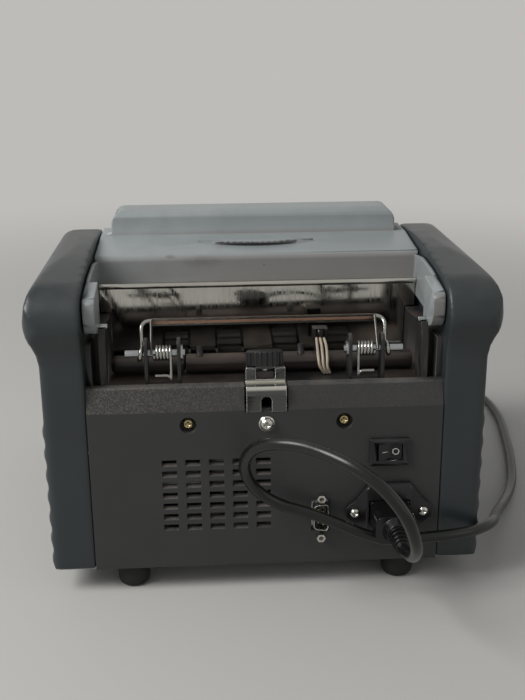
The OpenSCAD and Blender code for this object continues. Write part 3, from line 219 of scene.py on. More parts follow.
def plated(name, colour, tint, rough=0.3, streak=(1, 1, 1), scratch=0.000004, grime=0.2, edge=0.0002,
           bright="#d8d7d2"):
    """Metal surface: cloudy tone, fine scratches along one direction, some dirt in patches and a painted
    highlight along its edges.
    """
    material = bpy.data.materials.new(name)
    material.use_nodes = True
    tree = material.node_tree
    shader = tree.nodes["Principled BSDF"]
    place = add(tree, "ShaderNodeTexCoord").outputs["Object"]
    drawn = add(tree, "ShaderNodeMapping", {}, {"Vector": place, "Scale": streak}).outputs[0]
    fine = add(tree, "ShaderNodeTexNoise", {},
               {"Vector": drawn, "Scale": 1400.0, "Detail": 3.0}).outputs["Fac"]
    cloud = add(tree, "ShaderNodeTexNoise", {},
                {"Vector": place, "Scale": 75.0, "Detail": 4.0}).outputs["Fac"]
    patch = add(tree, "ShaderNodeTexNoise", {}, {"Vector": place, "Scale": 190.0, "Detail": 6.0,
                                                 "Roughness": 0.7}).outputs["Fac"]
    tone = add(tree, "ShaderNodeMix", {"data_type": "RGBA"}, {0: cloud, 6: linear(colour), 7: linear(tint)})
    dirt = add(tree, "ShaderNodeMapRange", {},
               {"Value": patch, "From Min": 0.5, "From Max": 0.8, "To Max": grime})
    shown = add(tree, "ShaderNodeMix", {"data_type": "RGBA"},
                {0: dirt.outputs[0], 6: tone.outputs[2], 7: linear("#4c4238")})
    gloss = add(tree, "ShaderNodeMapRange", {}, {"Value": fine, "From Min": 0.3, "From Max": 0.7,
                                                 "To Min": rough - 0.06, "To Max": rough + 0.1})
    # Painted highlight: edges found by the bevel normal are painted in the pale edge colour
    soft = add(tree, "ShaderNodeBevel", {"samples": 4}, {"Radius": edge})
    geometry = add(tree, "ShaderNodeNewGeometry")
    turned = add(tree, "ShaderNodeVectorMath", {"operation": "DOT_PRODUCT"},
                 {0: soft.outputs["Normal"], 1: geometry.outputs["Normal"]})
    edge_wear_and_highlight_mask = add(tree, "ShaderNodeMapRange", {}, {"Value": turned.outputs["Value"], "From Min": 0.99,
                                                  "From Max": 0.85})
    shown = add(tree, "ShaderNodeMix", {"data_type": "RGBA"},
                {0: edge_wear_and_highlight_mask.outputs[0], 6: shown.outputs[2], 7: linear(bright)})
    bump = add(tree, "ShaderNodeBump", {}, {"Height": fine, "Distance": scratch, "Strength": 0.5,
                                            "Normal": soft.outputs["Normal"]})
    tree.links.new(shown.outputs[2], shader.inputs["Base Color"])
    tree.links.new(gloss.outputs[0], shader.inputs["Roughness"])
    tree.links.new(bump.outputs[0], shader.inputs["Normal"])
    shader.inputs["Metallic"].default_value = 1
    return material


bright_zinc = plated("bright_zinc_plated_sheet", "#b3b6b8", "#9ea3a6", rough=0.34, streak=(0.2, 1, 1))
dress(bright_zinc, "base_plate", "left_frame", "right_frame", "tie_rods")

# ---------- Transport: shafts, rollers, belts and motor ----------
# Ground steel shafts in sintered bronze bushes, driven by flat neoprene belts from a small plated motor.
# The rollers are dark grey nitrile rubber on moulded hubs; notes polish them and leave a fine paper dust.
ground_steel = plated("ground_bright_steel", "#b9bcbe", "#a4a8ab", rough=0.2, streak=(0.1, 1, 1), grime=0.08)
sintered_bronze = plated("sintered_bronze", "#b18a52", "#8f6c40", rough=0.45)
neoprene = moulded("neoprene_belt_black", "#17181a", rough=0.65, grain=0.0006, dust=0.3)
nitrile = moulded("nitrile_rubber_grey", "#201f1f", rough=0.55, grain=0.0005, dust=0.1, edge_wear_and_highlight=0.1)
acetal = moulded("acetal_charcoal", "#1f2224", rough=0.4, dust=0.15)
enamelled = moulded("enamelled_iron_laminations", "#4d4740", rough=0.5, grain=0.0008, grain_depth=0.0001)
laminate = moulded("solder_mask_green", "#2a5c40", rough=0.3, grain=0.0004, dust=0.3)
dress(ground_steel, "drum_shaft", "pickup_shaft", "stacker_shaft", "motor_pulley")
dress(sintered_bronze, "shaft_bearings")
dress(neoprene, "drive_belts")
dress(nitrile, "pickup_rollers", "drum_rollers")
dress(acetal, "stacking_wheels", "note_guide")
dress(bright_zinc, "drive_motor")
dress(enamelled, "transformer")
dress(laminate, "main_board")

# ---------- Side covers, stacker tray and front bridge ----------
# Injection-moulded ABS in a dark slate grey, satin with a fine spark-eroded grain, its ribs polished by
# hands. The covers have softened edges and one even wall that also follows the rounded front corner.
MERGE = 0.000005


def refined(name, node, body, material, angle=32):
    """Stands for a CAD node: its loose triangles merged, curves shaded round and flats kept flat."""
    piece = bpy.data.objects.new(name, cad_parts[node].data.copy())
    bpy.context.scene.collection.objects.link(piece)
    bpy.ops.object.select_all(action="DESELECT")
    piece.select_set(True)
    bpy.context.view_layer.objects.active = piece
    bpy.ops.object.mode_set(mode="EDIT")
    bpy.ops.mesh.select_all(action="SELECT")
    bpy.ops.mesh.remove_doubles(threshold=MERGE)
    bpy.ops.object.mode_set(mode="OBJECT")
    bpy.ops.object.shade_smooth_by_angle(angle=math.radians(angle))
    weigh = piece.modifiers.new("weigh", "WEIGHTED_NORMAL")
    weigh.keep_sharp = True
    bpy.ops.object.modifier_apply(modifier="weigh")
    piece.data.materials.clear()
    piece.data.materials.append(material)
    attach(piece, body)
    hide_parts(node)
    return piece


slate = moulded("abs_slate_satin", "#2b3133", rough=0.34, grain=0.0010, grain_depth=0.00002, dust=0.1,
                edge_wear_and_highlight=0.2, edge=0.0012)
corner_x, corner_r, wall_r, wall_thick = 0.1095, 0.016, 0.0144, 0.0028
for side in ("left", "right"):
    shell = refined(side + "_side_cover", side + "_cover", "base", slate)
    # The corner's wall in strips, each turned from its first angle to the cover's flat side: angle, foot, top
    hand = -1 if side == "left" else 1
    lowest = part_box(side + "_cover")[0]
    centre = Vector((hand * corner_x, lowest[1] + corner_r, 0))
    strips = ((-90, lowest[2] + 0.0002, 0.092), (-74, 0.088, 0.0974), (-61, 0.094, 0.1016),
              (-52, 0.098, 0.1042), (-42, 0.101, 0.1066))
    walls = [shell]
    for first, low, high in strips:
        turn = math.radians(first)
        outward = Vector((hand * math.cos(turn), math.sin(turn), 0))
        bpy.ops.mesh.primitive_plane_add(size=1, location=(0, 0, 0))
        wall = bpy.context.object
        bpy.ops.object.mode_set(mode="EDIT")
        bpy.ops.mesh.select_all(action="SELECT")
        bpy.ops.transform.resize(value=(wall_thick, high - low, 1))
        bpy.ops.object.mode_set(mode="OBJECT")
        wall.rotation_euler = (math.pi / 2, 0, turn if hand > 0 else math.pi - turn)
        wall.location = centre + wall_r * outward + Vector((0, 0, (low + high) / 2))
        bpy.ops.object.transform_apply(location=True, rotation=True, scale=True)
        bpy.ops.object.mode_set(mode="EDIT")
        bpy.ops.mesh.select_all(action="SELECT")
        bpy.ops.mesh.spin(steps=14, angle=hand * turn, axis=(0, 0, 1), center=centre)
        bpy.ops.mesh.select_all(action="SELECT")
        bpy.ops.mesh.remove_doubles(threshold=MERGE)
        bpy.ops.mesh.fill_holes(sides=0)
        bpy.ops.mesh.normals_make_consistent(inside=False)
        bpy.ops.object.mode_set(mode="OBJECT")
        walls.append(wall)
    bpy.ops.object.select_all(action="DESELECT")
    for wall in walls:
        wall.select_set(True)
    bpy.context.view_layer.objects.active = shell
    bpy.ops.object.join()
    # One closed skin over the shell and its corner wall, then eased edges
    even = shell.modifiers.new("even", "REMESH")
    even.mode, even.voxel_size, even.use_smooth_shade = "VOXEL", 0.0014, True
    ease = shell.modifiers.new("ease", "SMOOTH")
    ease.factor, ease.iterations = 0.5, 9
    thin = shell.modifiers.new("thin", "DECIMATE")
    thin.ratio = 0.5
    for modifier in ("even", "ease", "thin"):
        bpy.ops.object.modifier_apply(modifier=modifier)
    bpy.ops.object.shade_smooth()
refined("stacker_tray_shell", "stacker_tray", "base", slate)
refined("front_bridge_shell", "front_bridge", "base", slate)

# ---------- Feet ----------
# Turned-over domes of black natural rubber, screwed up through their middles; matt, with table dust below.
foot_rubber = moulded("natural_rubber_black", "#141414", rough=0.75, grain=0.0012, dust=0.25, edge_wear_and_highlight=0.15)
refined("rubber_feet", "feet", "base", foot_rubber)

# ---------- Rear panel ----------
# Pressed steel with a textured black powder coat and a coarse grain. On the sloping strip pale specks,
# stronger towards its +X end, are partly settled dust and partly painted glints of the grain. Dust also
# settles in the louvres, and the coat is rubbed paler along folded edges.
powder = moulded("powder_coat_charcoal", "#323232", rough=0.5, grain=0.0009, grain_depth=0.0001, dust=0.3,
                 edge_wear_and_highlight=0.18, edge=0.0006)
strip = powder.node_tree
coat = strip.nodes["Principled BSDF"]
plain_coat = coat.inputs["Base Color"].links[0].from_socket
strip_place = add(strip, "ShaderNodeTexCoord").outputs["Object"]
sloping = add(strip, "ShaderNodeSeparateXYZ", {}, {0: add(strip, "ShaderNodeNewGeometry").outputs["Normal"]})
on_strip = add(strip, "ShaderNodeMapRange", {},
               {"Value": sloping.outputs["Z"], "From Min": 0.12, "From Max": 0.3})
speck = add(strip, "ShaderNodeTexNoise", {},
            {"Vector": strip_place, "Scale": 1100.0, "Detail": 3.0}).outputs["Fac"]
specked = add(strip, "ShaderNodeMapRange", {}, {"Value": speck, "From Min": 0.45, "From Max": 0.62})
across_width = add(strip, "ShaderNodeSeparateXYZ", {}, {0: strip_place})
specks_grow_to_plus_x = add(strip, "ShaderNodeMapRange", {}, {"Value": across_width.outputs["X"], "From Min": -0.02,
                                                  "From Max": 0.08, "To Min": 0.08, "To Max": 0.38})
amount = add(strip, "ShaderNodeMath", {"operation": "MULTIPLY"},
             {0: on_strip.outputs[0], 1: specks_grow_to_plus_x.outputs[0]})
amount = add(strip, "ShaderNodeMath", {"operation": "MULTIPLY"},
             {0: amount.outputs[0], 1: specked.outputs[0]})
# Pale specks on the strip: partly dust, partly painted glints of the grain
sparkle = add(strip, "ShaderNodeMix", {"data_type": "RGBA"},
              {0: amount.outputs[0], 6: plain_coat, 7: linear("#837a70")})
strip.links.new(sparkle.outputs[2], coat.inputs["Base Color"])
dress(powder, "rear_panel")

# ---------- Screws ----------
# Cross-recessed pan heads: yellow-passivated zinc on the panel, bright nickel on the inlet and for the
# single one below the adjuster.
yellow_zinc = plated("yellow_passivated_zinc", "#d0c093", "#a99a72", rough=0.24, grime=0.25)
bright_nickel = plated("bright_nickel_plate", "#d9d8d2", "#bdbbb4", rough=0.16, grime=0.12)
refined("panel_pan_screws", "panel_screws", "base", yellow_zinc)
refined("inlet_pan_screws", "inlet_screws", "base", bright_nickel)
refined("middle_pan_screw", "centre_screw", "base", bright_nickel)

# ---------- Rocker switch ----------
# Glossy nylon bezel and a rocker with two wings; its marks for on and off are printed in white.
gloss_nylon = moulded("nylon_black_gloss", "#17181a", rough=0.25, grain=0.002, dust=0.12, edge_wear_and_highlight=0.2)
refined("switch_bezel", "switch_body", "base", gloss_nylon)
refined("switch_rocker_moulding", "switch_rocker", "rocker", gloss_nylon)
white_print = moulded("white_pad_print", "#d9dad6", rough=0.5, grain=0.002, dust=0.1)
pivot = Vector((-0.07035, 0.1168, 0.085))
mark_r, ring_wide, bar_long, bar_wide, print_lift, print_thick = 0.0015, 1.34, 1.35, 0.19, 0.00012, 0.00008
# Each mark lies on its wing: its place from the pivot and the wing's slope in degrees
for mark, off_x, off_y, tilt in (("off", -0.003637, 0.001812, -7.04), ("on", 0.002997, 0.002744, 23.04)):
    filling = "NOTHING" if mark == "off" else "NGON"
    bpy.ops.mesh.primitive_circle_add(vertices=32, radius=mark_r, fill_type=filling)
    piece = bpy.context.object
    piece.name = "switch_mark_" + mark
    bpy.ops.object.mode_set(mode="EDIT")
    bpy.ops.mesh.select_all(action="SELECT")
    if mark == "off":
        bpy.ops.mesh.extrude_region_move(TRANSFORM_OT_translate={"value": (0, 0, 0)})
        bpy.ops.transform.resize(value=(ring_wide, ring_wide, 1))
    else:
        bpy.ops.transform.resize(value=(bar_long, bar_wide, 1))
    bpy.ops.mesh.select_all(action="SELECT")
    bpy.ops.mesh.normals_make_consistent(inside=False)
    bpy.ops.object.mode_set(mode="OBJECT")
    slope = math.radians(tilt)
    outward = Vector((-math.sin(slope), math.cos(slope), 0))
    piece.rotation_euler = (-math.pi / 2, 0, slope)
    piece.location = pivot + Vector((off_x, off_y, 0)) + outward * print_lift
    bpy.ops.object.transform_apply(location=True, rotation=True, scale=True)
    thick = piece.modifiers.new("thick", "SOLIDIFY")
    thick.thickness, thick.offset = print_thick, 0
    bpy.ops.object.modifier_apply(modifier="thick")
    piece.data.materials.append(white_print)
    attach(piece, "rocker")

# ---------- Data port ----------
# Nine-pin socket: a tin-plated shell and a black insulator with gilt pins. Two hexagonal posts in bright
# nickel hold it to the panel.


def break_edges(offset, segments):
    """Rounds every edge of the active piece."""
    bpy.ops.object.mode_set(mode="EDIT")
    bpy.ops.mesh.select_all(action="SELECT")
    bpy.ops.mesh.bevel(offset=offset, segments=segments)
    bpy.ops.object.mode_set(mode="OBJECT")


def joined(pieces, name):
    """Joins pieces into the last of them, which is the active one."""
    for piece in pieces:
        piece.select_set(True)
    bpy.ops.object.join()
    whole = bpy.context.object
    whole.name = name
    return whole


tin = plated("tin_plated_shell", "#c6c8c8", "#aeb1b1", rough=0.28, grime=0.35)
brass = plated("gilt_brass", "#cfae5a", "#b08f47", rough=0.24, grime=0.3)
port = Vector((-0.031155, 0.118, 0.0455))
shell_high, shell_narrow, shell_taper, shell_corner, shell_gauge = 0.0176, 0.5, 0.86, 0.0026, 0.0006
shell_foot, shell_deep = Vector((0, -0.0031, 0)), 0.0066
pin_row, pin_pitch, pin_r, pin_long = 0.0014, 0.00277, 0.0005, 0.0028
bpy.ops.mesh.primitive_plane_add(size=shell_high, rotation=(math.pi / 2, 0, 0), location=port + shell_foot)
shell = bpy.context.object
shell.name = "port_shell"
bpy.ops.object.transform_apply(location=True, rotation=True, scale=True)
for vertex in shell.data.vertices:
    vertex.select = vertex.co.x > port.x
for edge in shell.data.edges:
    edge.select = all(shell.data.vertices[v].select for v in edge.vertices)
shell.data.polygons[0].select = False
bpy.ops.object.mode_set(mode="EDIT")
bpy.ops.mesh.select_mode(type="VERT")
bpy.ops.transform.resize(value=(1, 1, shell_taper), center_override=port)
bpy.ops.mesh.select_all(action="SELECT")
bpy.ops.transform.resize(value=(shell_narrow, 1, 1), center_override=port)
bpy.ops.mesh.bevel(offset=shell_corner, segments=6, affect="VERTICES")
bpy.ops.mesh.extrude_region_move(TRANSFORM_OT_translate={"value": (0, shell_deep, 0)})
bpy.ops.mesh.delete(type="ONLY_FACE")
bpy.ops.mesh.select_all(action="SELECT")
bpy.ops.mesh.normals_make_consistent(inside=False)
bpy.ops.object.mode_set(mode="OBJECT")
wall = shell.modifiers.new("wall", "SOLIDIFY")
wall.thickness, wall.offset = shell_gauge, -1
bpy.ops.object.modifier_apply(modifier="wall")
# The socket's body behind the panel, and the flange that the posts clamp
bpy.ops.mesh.primitive_cube_add(size=1, location=port + Vector((0, -0.0076, 0)),
                                scale=(0.0105, 0.0078, 0.019))
body_block = bpy.context.object
bpy.ops.object.transform_apply(location=True, rotation=True, scale=True)
bpy.ops.mesh.primitive_cube_add(size=1, location=port + Vector((0, -0.0035, 0)),
                                scale=(0.0125, 0.0009, 0.0308))
bpy.ops.object.transform_apply(location=True, rotation=True, scale=True)
body_block.select_set(True)
shell.select_set(True)
bpy.context.view_layer.objects.active = shell
bpy.ops.object.join()
folded = shell.modifiers.new("folded", "BEVEL")
folded.width, folded.segments, folded.limit_method, folded.angle_limit = 0.0002, 2, "ANGLE", math.radians(50)
bpy.ops.object.modifier_apply(modifier="folded")
bpy.ops.object.shade_smooth_by_angle(angle=math.radians(35))
shell.data.materials.append(tin)
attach(shell, "base")
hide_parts("serial_port")
refined("port_posts", "port_screws", "base", bright_nickel, angle=25)
bpy.ops.mesh.primitive_cube_add(size=1, location=port + Vector((0, -0.0017, 0)),
                                scale=(0.0074, 0.0006, 0.0145))
insulator = bpy.context.object
insulator.name = "port_insulator"
break_edges(0.0002, 2)
bpy.ops.object.transform_apply(location=True, rotation=True, scale=True)
insulator.data.materials.append(gloss_nylon)
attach(insulator, "base")
pins = []
for row, count in ((-pin_row, 5), (pin_row, 4)):
    for i in range(count):
        height = (i - (count - 1) / 2) * pin_pitch
        bpy.ops.mesh.primitive_cylinder_add(vertices=12, radius=pin_r, depth=pin_long,
                                            rotation=(math.pi / 2, 0, 0),
                                            location=port + Vector((row, -0.0004, height)))
        break_edges(0.0002, 2)
        pins.append(bpy.context.object)
port_pins = joined(pins, "port_pins")
bpy.ops.object.transform_apply(location=True, rotation=True, scale=True)
port_pins.data.materials.append(brass)
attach(port_pins, "base")

# ---------- Mains inlet ----------
# Glass-filled nylon flange, a little glossier than the panel, with its blades inside.
flange = moulded("nylon_flange_black", "#1a1a1c", rough=0.3, grain=0.0012, dust=0.2, edge_wear_and_highlight=0.35, edge=0.0005)
refined("inlet_flange", "power_inlet", "base", flange, angle=25)

# ---------- Hopper floor ----------
# Black ABS floor and side walls; paper dust has turned what lies flat a dull brown.
bed_plastic = moulded("abs_black_dusty", "#252424", rough=0.42, grain=0.0009, dust=0.6, edge_wear_and_highlight=0.25,
                      edge=0.0006, dust_colour="#5f5146")
refined("hopper_floor", "hopper_bed", "base", bed_plastic, angle=25)

# ---------- Bail springs and their brackets ----------
# Two torsion springs wound from 1.7 mm music wire, five turns each, sit on ground stub shafts in black
# brackets. One leg runs down to the bracket; the clips on the shafts are plain spring steel.
black_zinc = moulded("black_zinc_plated_sheet", "#232221", rough=0.32, grain=0.0008, grain_depth=0.00001,
                     dust=0.2, edge_wear_and_highlight=0.7, edge=0.0004)
music_wire = plated("bright_music_wire", "#c3c3bf", "#96958f", rough=0.15, grime=0.35)
bracket_x, ear_x, ear_t, ear_r = 0.0575, 0.0092, 0.002, 0.005
ear_y, ear_z, deck_z, deck_deep = 0.104, 0.147, 0.122, 0.0096
parts = []
for middle in (-bracket_x, bracket_x):
    for side in (-1, 1):
        bpy.ops.mesh.primitive_circle_add(vertices=40, radius=ear_r, fill_type="NGON",
                                          rotation=(0, math.pi / 2, 0),
                                          location=(middle + side * ear_x - ear_t / 2, ear_y, ear_z))
        ear = bpy.context.object
        bpy.ops.object.transform_apply(location=True, rotation=True, scale=True)
        for vertex in ear.data.vertices:
            vertex.select = vertex.co.z < ear_z - 0.0001
        for edge in ear.data.edges:
            edge.select = all(ear.data.vertices[v].select for v in edge.vertices)
        ear.data.polygons[0].select = False
        bpy.ops.object.mode_set(mode="EDIT")
        bpy.ops.mesh.select_mode(type="VERT")
        bpy.ops.transform.resize(value=(1, 1, 0), center_override=(middle, ear_y, deck_z))
        bpy.ops.mesh.select_all(action="SELECT")
        bpy.ops.mesh.extrude_region_move(TRANSFORM_OT_translate={"value": (ear_t, 0, 0)})
        bpy.ops.mesh.select_all(action="SELECT")
        bpy.ops.mesh.normals_make_consistent(inside=False)
        bpy.ops.object.mode_set(mode="OBJECT")
        parts.append(ear)
    bpy.ops.mesh.primitive_cube_add(size=1, location=(middle, ear_y - 0.0002, deck_z + ear_t / 2),
                                    scale=(2 * ear_x - ear_t, deck_deep, ear_t))
    bpy.ops.object.transform_apply(location=True, rotation=True, scale=True)
    parts.append(bpy.context.object)
brackets = joined(parts, "spring_bracket_pair")
eased = brackets.modifiers.new("eased", "BEVEL")
eased.width, eased.segments, eased.limit_method, eased.angle_limit = 0.0006, 3, "ANGLE", math.radians(50)
bpy.ops.object.modifier_apply(modifier="eased")
bpy.ops.object.shade_smooth_by_angle(angle=math.radians(40))
brackets.data.materials.append(black_zinc)
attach(brackets, "base")
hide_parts("spring_brackets")
dress(ground_steel, "shaft_clips")
refined("stub_shafts", "bail_shafts", "base", ground_steel)
wire_r, coil_x, coil_r, coil_pitch, coil_turns = 0.00085, 0.0529, 0.0037, 0.00186, 5
spring_y, spring_z, foot_z, foot_r, foot_run = 0.104, 0.143, 0.1248, 0.003, 0.006
coils = []
for side in (-1, 1):
    # The coil's outer end only touches the upper leg, which turns past it as the bail swings
    start = side * coil_x
    bpy.ops.mesh.primitive_circle_add(vertices=14, radius=wire_r, location=(start, spring_y, spring_z))
    coil = bpy.context.object
    bpy.ops.object.mode_set(mode="EDIT")
    bpy.ops.mesh.select_all(action="SELECT")
    bpy.ops.transform.translate(value=(0, coil_r, 0))
    bpy.ops.object.mode_set(mode="OBJECT")
    wind = coil.modifiers.new("wind", "SCREW")
    wind.axis, wind.angle, wind.screw_offset = "X", 2 * math.pi, side * coil_pitch
    wind.steps, wind.render_steps, wind.iterations = 28, 28, coil_turns
    bpy.ops.object.modifier_apply(modifier="wind")
    bpy.ops.object.transform_apply(location=True, rotation=True, scale=True)
    bpy.ops.object.mode_set(mode="EDIT")
    bpy.ops.mesh.select_mode(type="VERT")
    bpy.ops.mesh.select_all(action="DESELECT")
    bpy.ops.object.mode_set(mode="OBJECT")
    # The coil's inner end runs down as the lower leg and turns outward along the bracket
    rim, level = wire_r * 1.02, 0.00001
    for vertex in coil.data.vertices:
        from_end = (vertex.co - Vector((start, spring_y + coil_r, spring_z))).length
        vertex.select = from_end < rim and abs(vertex.co.z - spring_z) < level
    bpy.ops.object.mode_set(mode="EDIT")
    bpy.ops.mesh.extrude_region_move(TRANSFORM_OT_translate={"value": (0, 0, foot_z + foot_r - spring_z)})
    bpy.ops.mesh.spin(steps=8, angle=-side * math.pi / 2, axis=(0, 1, 0),
                      center=(start + side * foot_r, spring_y + coil_r, foot_z + foot_r))
    bpy.ops.mesh.extrude_region_move(TRANSFORM_OT_translate={"value": (side * foot_run, 0, 0)})
    bpy.ops.mesh.edge_face_add()
    bpy.ops.mesh.select_all(action="SELECT")
    bpy.ops.mesh.remove_doubles(threshold=0.000002)
    bpy.ops.mesh.normals_make_consistent(inside=False)
    bpy.ops.object.mode_set(mode="OBJECT")
    coils.append(coil)
springs = joined(coils, "torsion_springs")
bpy.ops.object.shade_smooth_by_angle(angle=math.radians(50))
springs.data.materials.append(music_wire)
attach(springs, "base")
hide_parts("bail_springs")

# ---------- Bail ----------
# Bent from 2.6 mm bright wire, with a copper-coloured sleeve; pale rods along its upper and lower edges are
# painted highlights.
BAIL_WIRE = 0.0026
bail_foot, bail_head = Vector((0.0695, 0.104, 0.143)), Vector((0.0695, 0.091, 0.158))
lean = (bail_head - bail_foot).normalized()
across = Vector((0, -lean.z, lean.y))
eye, eye_wide, eye_steps, steps_in_turn, bend, middle_x = 0.0034, 0.0028, 8, 8.6, 0.0045, 0.03
# Half of its line: an eye round the shaft, a leg up and a bend into the cross bar
half = []
for step in range(eye_steps + 1):
    a = 2 * math.pi * (1 - step / steps_in_turn)
    along = Vector((eye_wide / 2 - eye_wide * step / eye_steps, 0, 0))
    half.append(bail_foot + along + eye * (math.cos(a) * across + math.sin(a) * lean))
half.reverse()
half.pop()
half += [bail_foot + across * eye * 0.96 + lean * 0.004, bail_foot + across * eye * 0.55 + lean * 0.009]
half += [bail_head - lean * bend, bail_head - lean * bend * 0.3 - Vector((bend * 0.3, 0, 0)),
         bail_head - Vector((bend, 0, 0))]
mirrored = [Vector((-p.x, p.y, p.z)) for p in reversed(half)]
bent = bpy.data.curves.new("bail_frame", "CURVE")
bent.dimensions, bent.bevel_depth, bent.bevel_resolution, bent.resolution_u = "3D", BAIL_WIRE / 2, 4, 6
bent.use_fill_caps = True
line = bent.splines.new("BEZIER")
points = half + [Vector((x, bail_head.y, bail_head.z)) for x in (middle_x, -middle_x)] + mirrored
line.bezier_points.add(len(points) - 1)
for i, point in enumerate(line.bezier_points):
    before, after = points[max(i - 1, 0)], points[min(i + 1, len(points) - 1)]
    ahead, behind = (after - points[i]).length, (points[i] - before).length
    heading = (after - before).normalized()
    point.co = points[i]
    point.handle_left = points[i] - heading * behind / 3
    point.handle_right = points[i] + heading * ahead / 3
bail_frame = bpy.data.objects.new("bail_frame", bent)
bpy.context.scene.collection.objects.link(bail_frame)
bpy.ops.object.select_all(action="DESELECT")
bail_frame.select_set(True)
bpy.context.view_layer.objects.active = bail_frame
bpy.ops.object.convert(target="MESH")
bpy.ops.object.shade_smooth_by_angle(angle=math.radians(50))
bail_frame.data.materials.append(music_wire)
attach(bail_frame, "bail")
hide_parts("bail_wire")
worn_copper = plated("worn_coppered_sleeve", "#a58571", "#7f6252", rough=0.3, streak=(0.15, 1, 1), grime=0.2)
sleeve_highlight_paint = plated("sleeve_painted_highlight", "#e6dccd", "#d3c3b0", rough=0.34, streak=(0.15, 1, 1), grime=0.1)
sleeve_half, sleeve_deep, sleeve_high, edge_r = 0.0635, 0.0033, 0.0036, 0.00075
# Two pale rods along the sleeve's upper and lower edges: painted highlights
parts = []
for off_y, off_z in ((0.0014, 0.0010), (0.0014, -0.0018)):
    bpy.ops.mesh.primitive_cylinder_add(vertices=20, radius=edge_r, depth=2 * sleeve_half,
                                        rotation=(0, math.pi / 2, 0),
                                        location=(0, bail_head.y + off_y, bail_head.z + off_z))
    break_edges(0.0003, 2)
    parts.append(bpy.context.object)
sleeve_highlight_rods = joined(parts, "bail_sleeve_highlight_rods")
bpy.ops.object.transform_apply(location=True, rotation=True, scale=True)
bpy.ops.object.shade_smooth_by_angle(angle=math.radians(40))
sleeve_highlight_rods.data.materials.append(sleeve_highlight_paint)
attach(sleeve_highlight_rods, "bail")
bpy.ops.mesh.primitive_cube_add(size=1, location=(0, bail_head.y + 0.00015, bail_head.z - 0.0004),
                                scale=(2 * sleeve_half - 0.0006, sleeve_deep, sleeve_high))
sleeve = bpy.context.object
sleeve.name = "bail_sleeve"
bpy.ops.object.transform_apply(location=True, rotation=True, scale=True)
break_edges(0.0005, 3)
bpy.ops.object.shade_smooth_by_angle(angle=math.radians(40))
sleeve.data.materials.append(worn_copper)
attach(sleeve, "bail")
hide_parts("bail_bar")
# The upper legs are painted darker than the coils as painted shade
leg_wire_painted_shade = plated("spring_leg_painted_shade", "#6d6c69", "#4b4a48", rough=0.3, grime=0.5)
refined("spring_upper_legs", "spring_legs", "bail", leg_wire_painted_shade)

# ---------- Gap adjuster ----------
# A fluted phenolic knob turns a plated stud in a bent, nickel-plated bracket. The stud lifts a moulded
# carriage, which sets the gap that notes pass through.
# Its strongly paler edges are partly wear and partly a painted highlight on the flutes
phenolic = moulded("phenolic_black", "#151617", rough=0.3, grain=0.001, grain_depth=0.00001, dust=0.12,
                   edge_wear_and_highlight=0.75, edge=0.0004)
# Nickel plate whose edges are also painted near-white as a highlight
nickel_with_painted_reflections = plated("nickel_plate_with_painted_reflections", "#a3a5a8", "#7c7f83", rough=0.2, streak=(0.3, 1, 1), grime=0.2,
                     edge=0.0008, bright="#f0efea")
carriage_plastic = moulded("abs_dark_brown", "#342c29", rough=0.34, grain=0.0009, dust=0.4, edge_wear_and_highlight=0.5,
                           edge=0.0008, dust_colour="#7d6a5b")
# The bracket's flat parts are painted dark as a painted reflection of dark surroundings; a pale band along
# its bend is a painted highlight
plate = nickel_with_painted_reflections.node_tree
edge_mix = plate.nodes["Principled BSDF"].inputs["Base Color"].links[0].from_node
plate_place = add(plate, "ShaderNodeSeparateXYZ", {}, {0: add(plate, "ShaderNodeTexCoord").outputs["Object"]})
bend_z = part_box("gap_bracket")[0][2] + 0.0145
from_bend = add(plate, "ShaderNodeMath", {"operation": "SUBTRACT"}, {0: plate_place.outputs["Z"], 1: bend_z})
from_bend = add(plate, "ShaderNodeMath", {"operation": "ABSOLUTE"}, {0: from_bend.outputs[0]})
off_bend = add(plate, "ShaderNodeMapRange", {}, {"Value": from_bend.outputs[0], "From Min": 0.0009,
                                                 "From Max": 0.0022, "To Max": 0.9})
bend_highlight_and_dark_reflection = add(plate, "ShaderNodeMix", {"data_type": "RGBA"}, {0: off_bend.outputs[0], 6: linear("#d8d6cd"),
                                                             7: linear("#404244")})
plate.links.new(bend_highlight_and_dark_reflection.outputs[2], edge_mix.inputs[6])
refined("fluted_knob", "gap_knob", "knob", phenolic, angle=25)
refined("threaded_stud", "gap_stud", "knob", bright_nickel)
refined("adjuster_bracket", "gap_bracket", "base", nickel_with_painted_reflections, angle=25)
middle_block = refined("lift_carriage", "gap_carriage", "carriage", carriage_plastic,
                       angle=25)
# The carriage's rear rib keeps clear of the bracket at the bottom of its travel
rear_y, rib_deep, set_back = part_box("gap_carriage")[1][1], 0.0022, 0.0003
bpy.ops.object.select_all(action="DESELECT")
middle_block.select_set(True)
bpy.context.view_layer.objects.active = middle_block
for part in (middle_block.data.polygons, middle_block.data.edges):
    for item in part:
        item.select = False
for vertex in middle_block.data.vertices:
    vertex.select = vertex.co.y > rear_y - rib_deep
bpy.ops.object.mode_set(mode="EDIT")
bpy.ops.mesh.select_mode(type="VERT")
bpy.ops.transform.translate(value=(0, -set_back, 0))
bpy.ops.object.mode_set(mode="OBJECT")
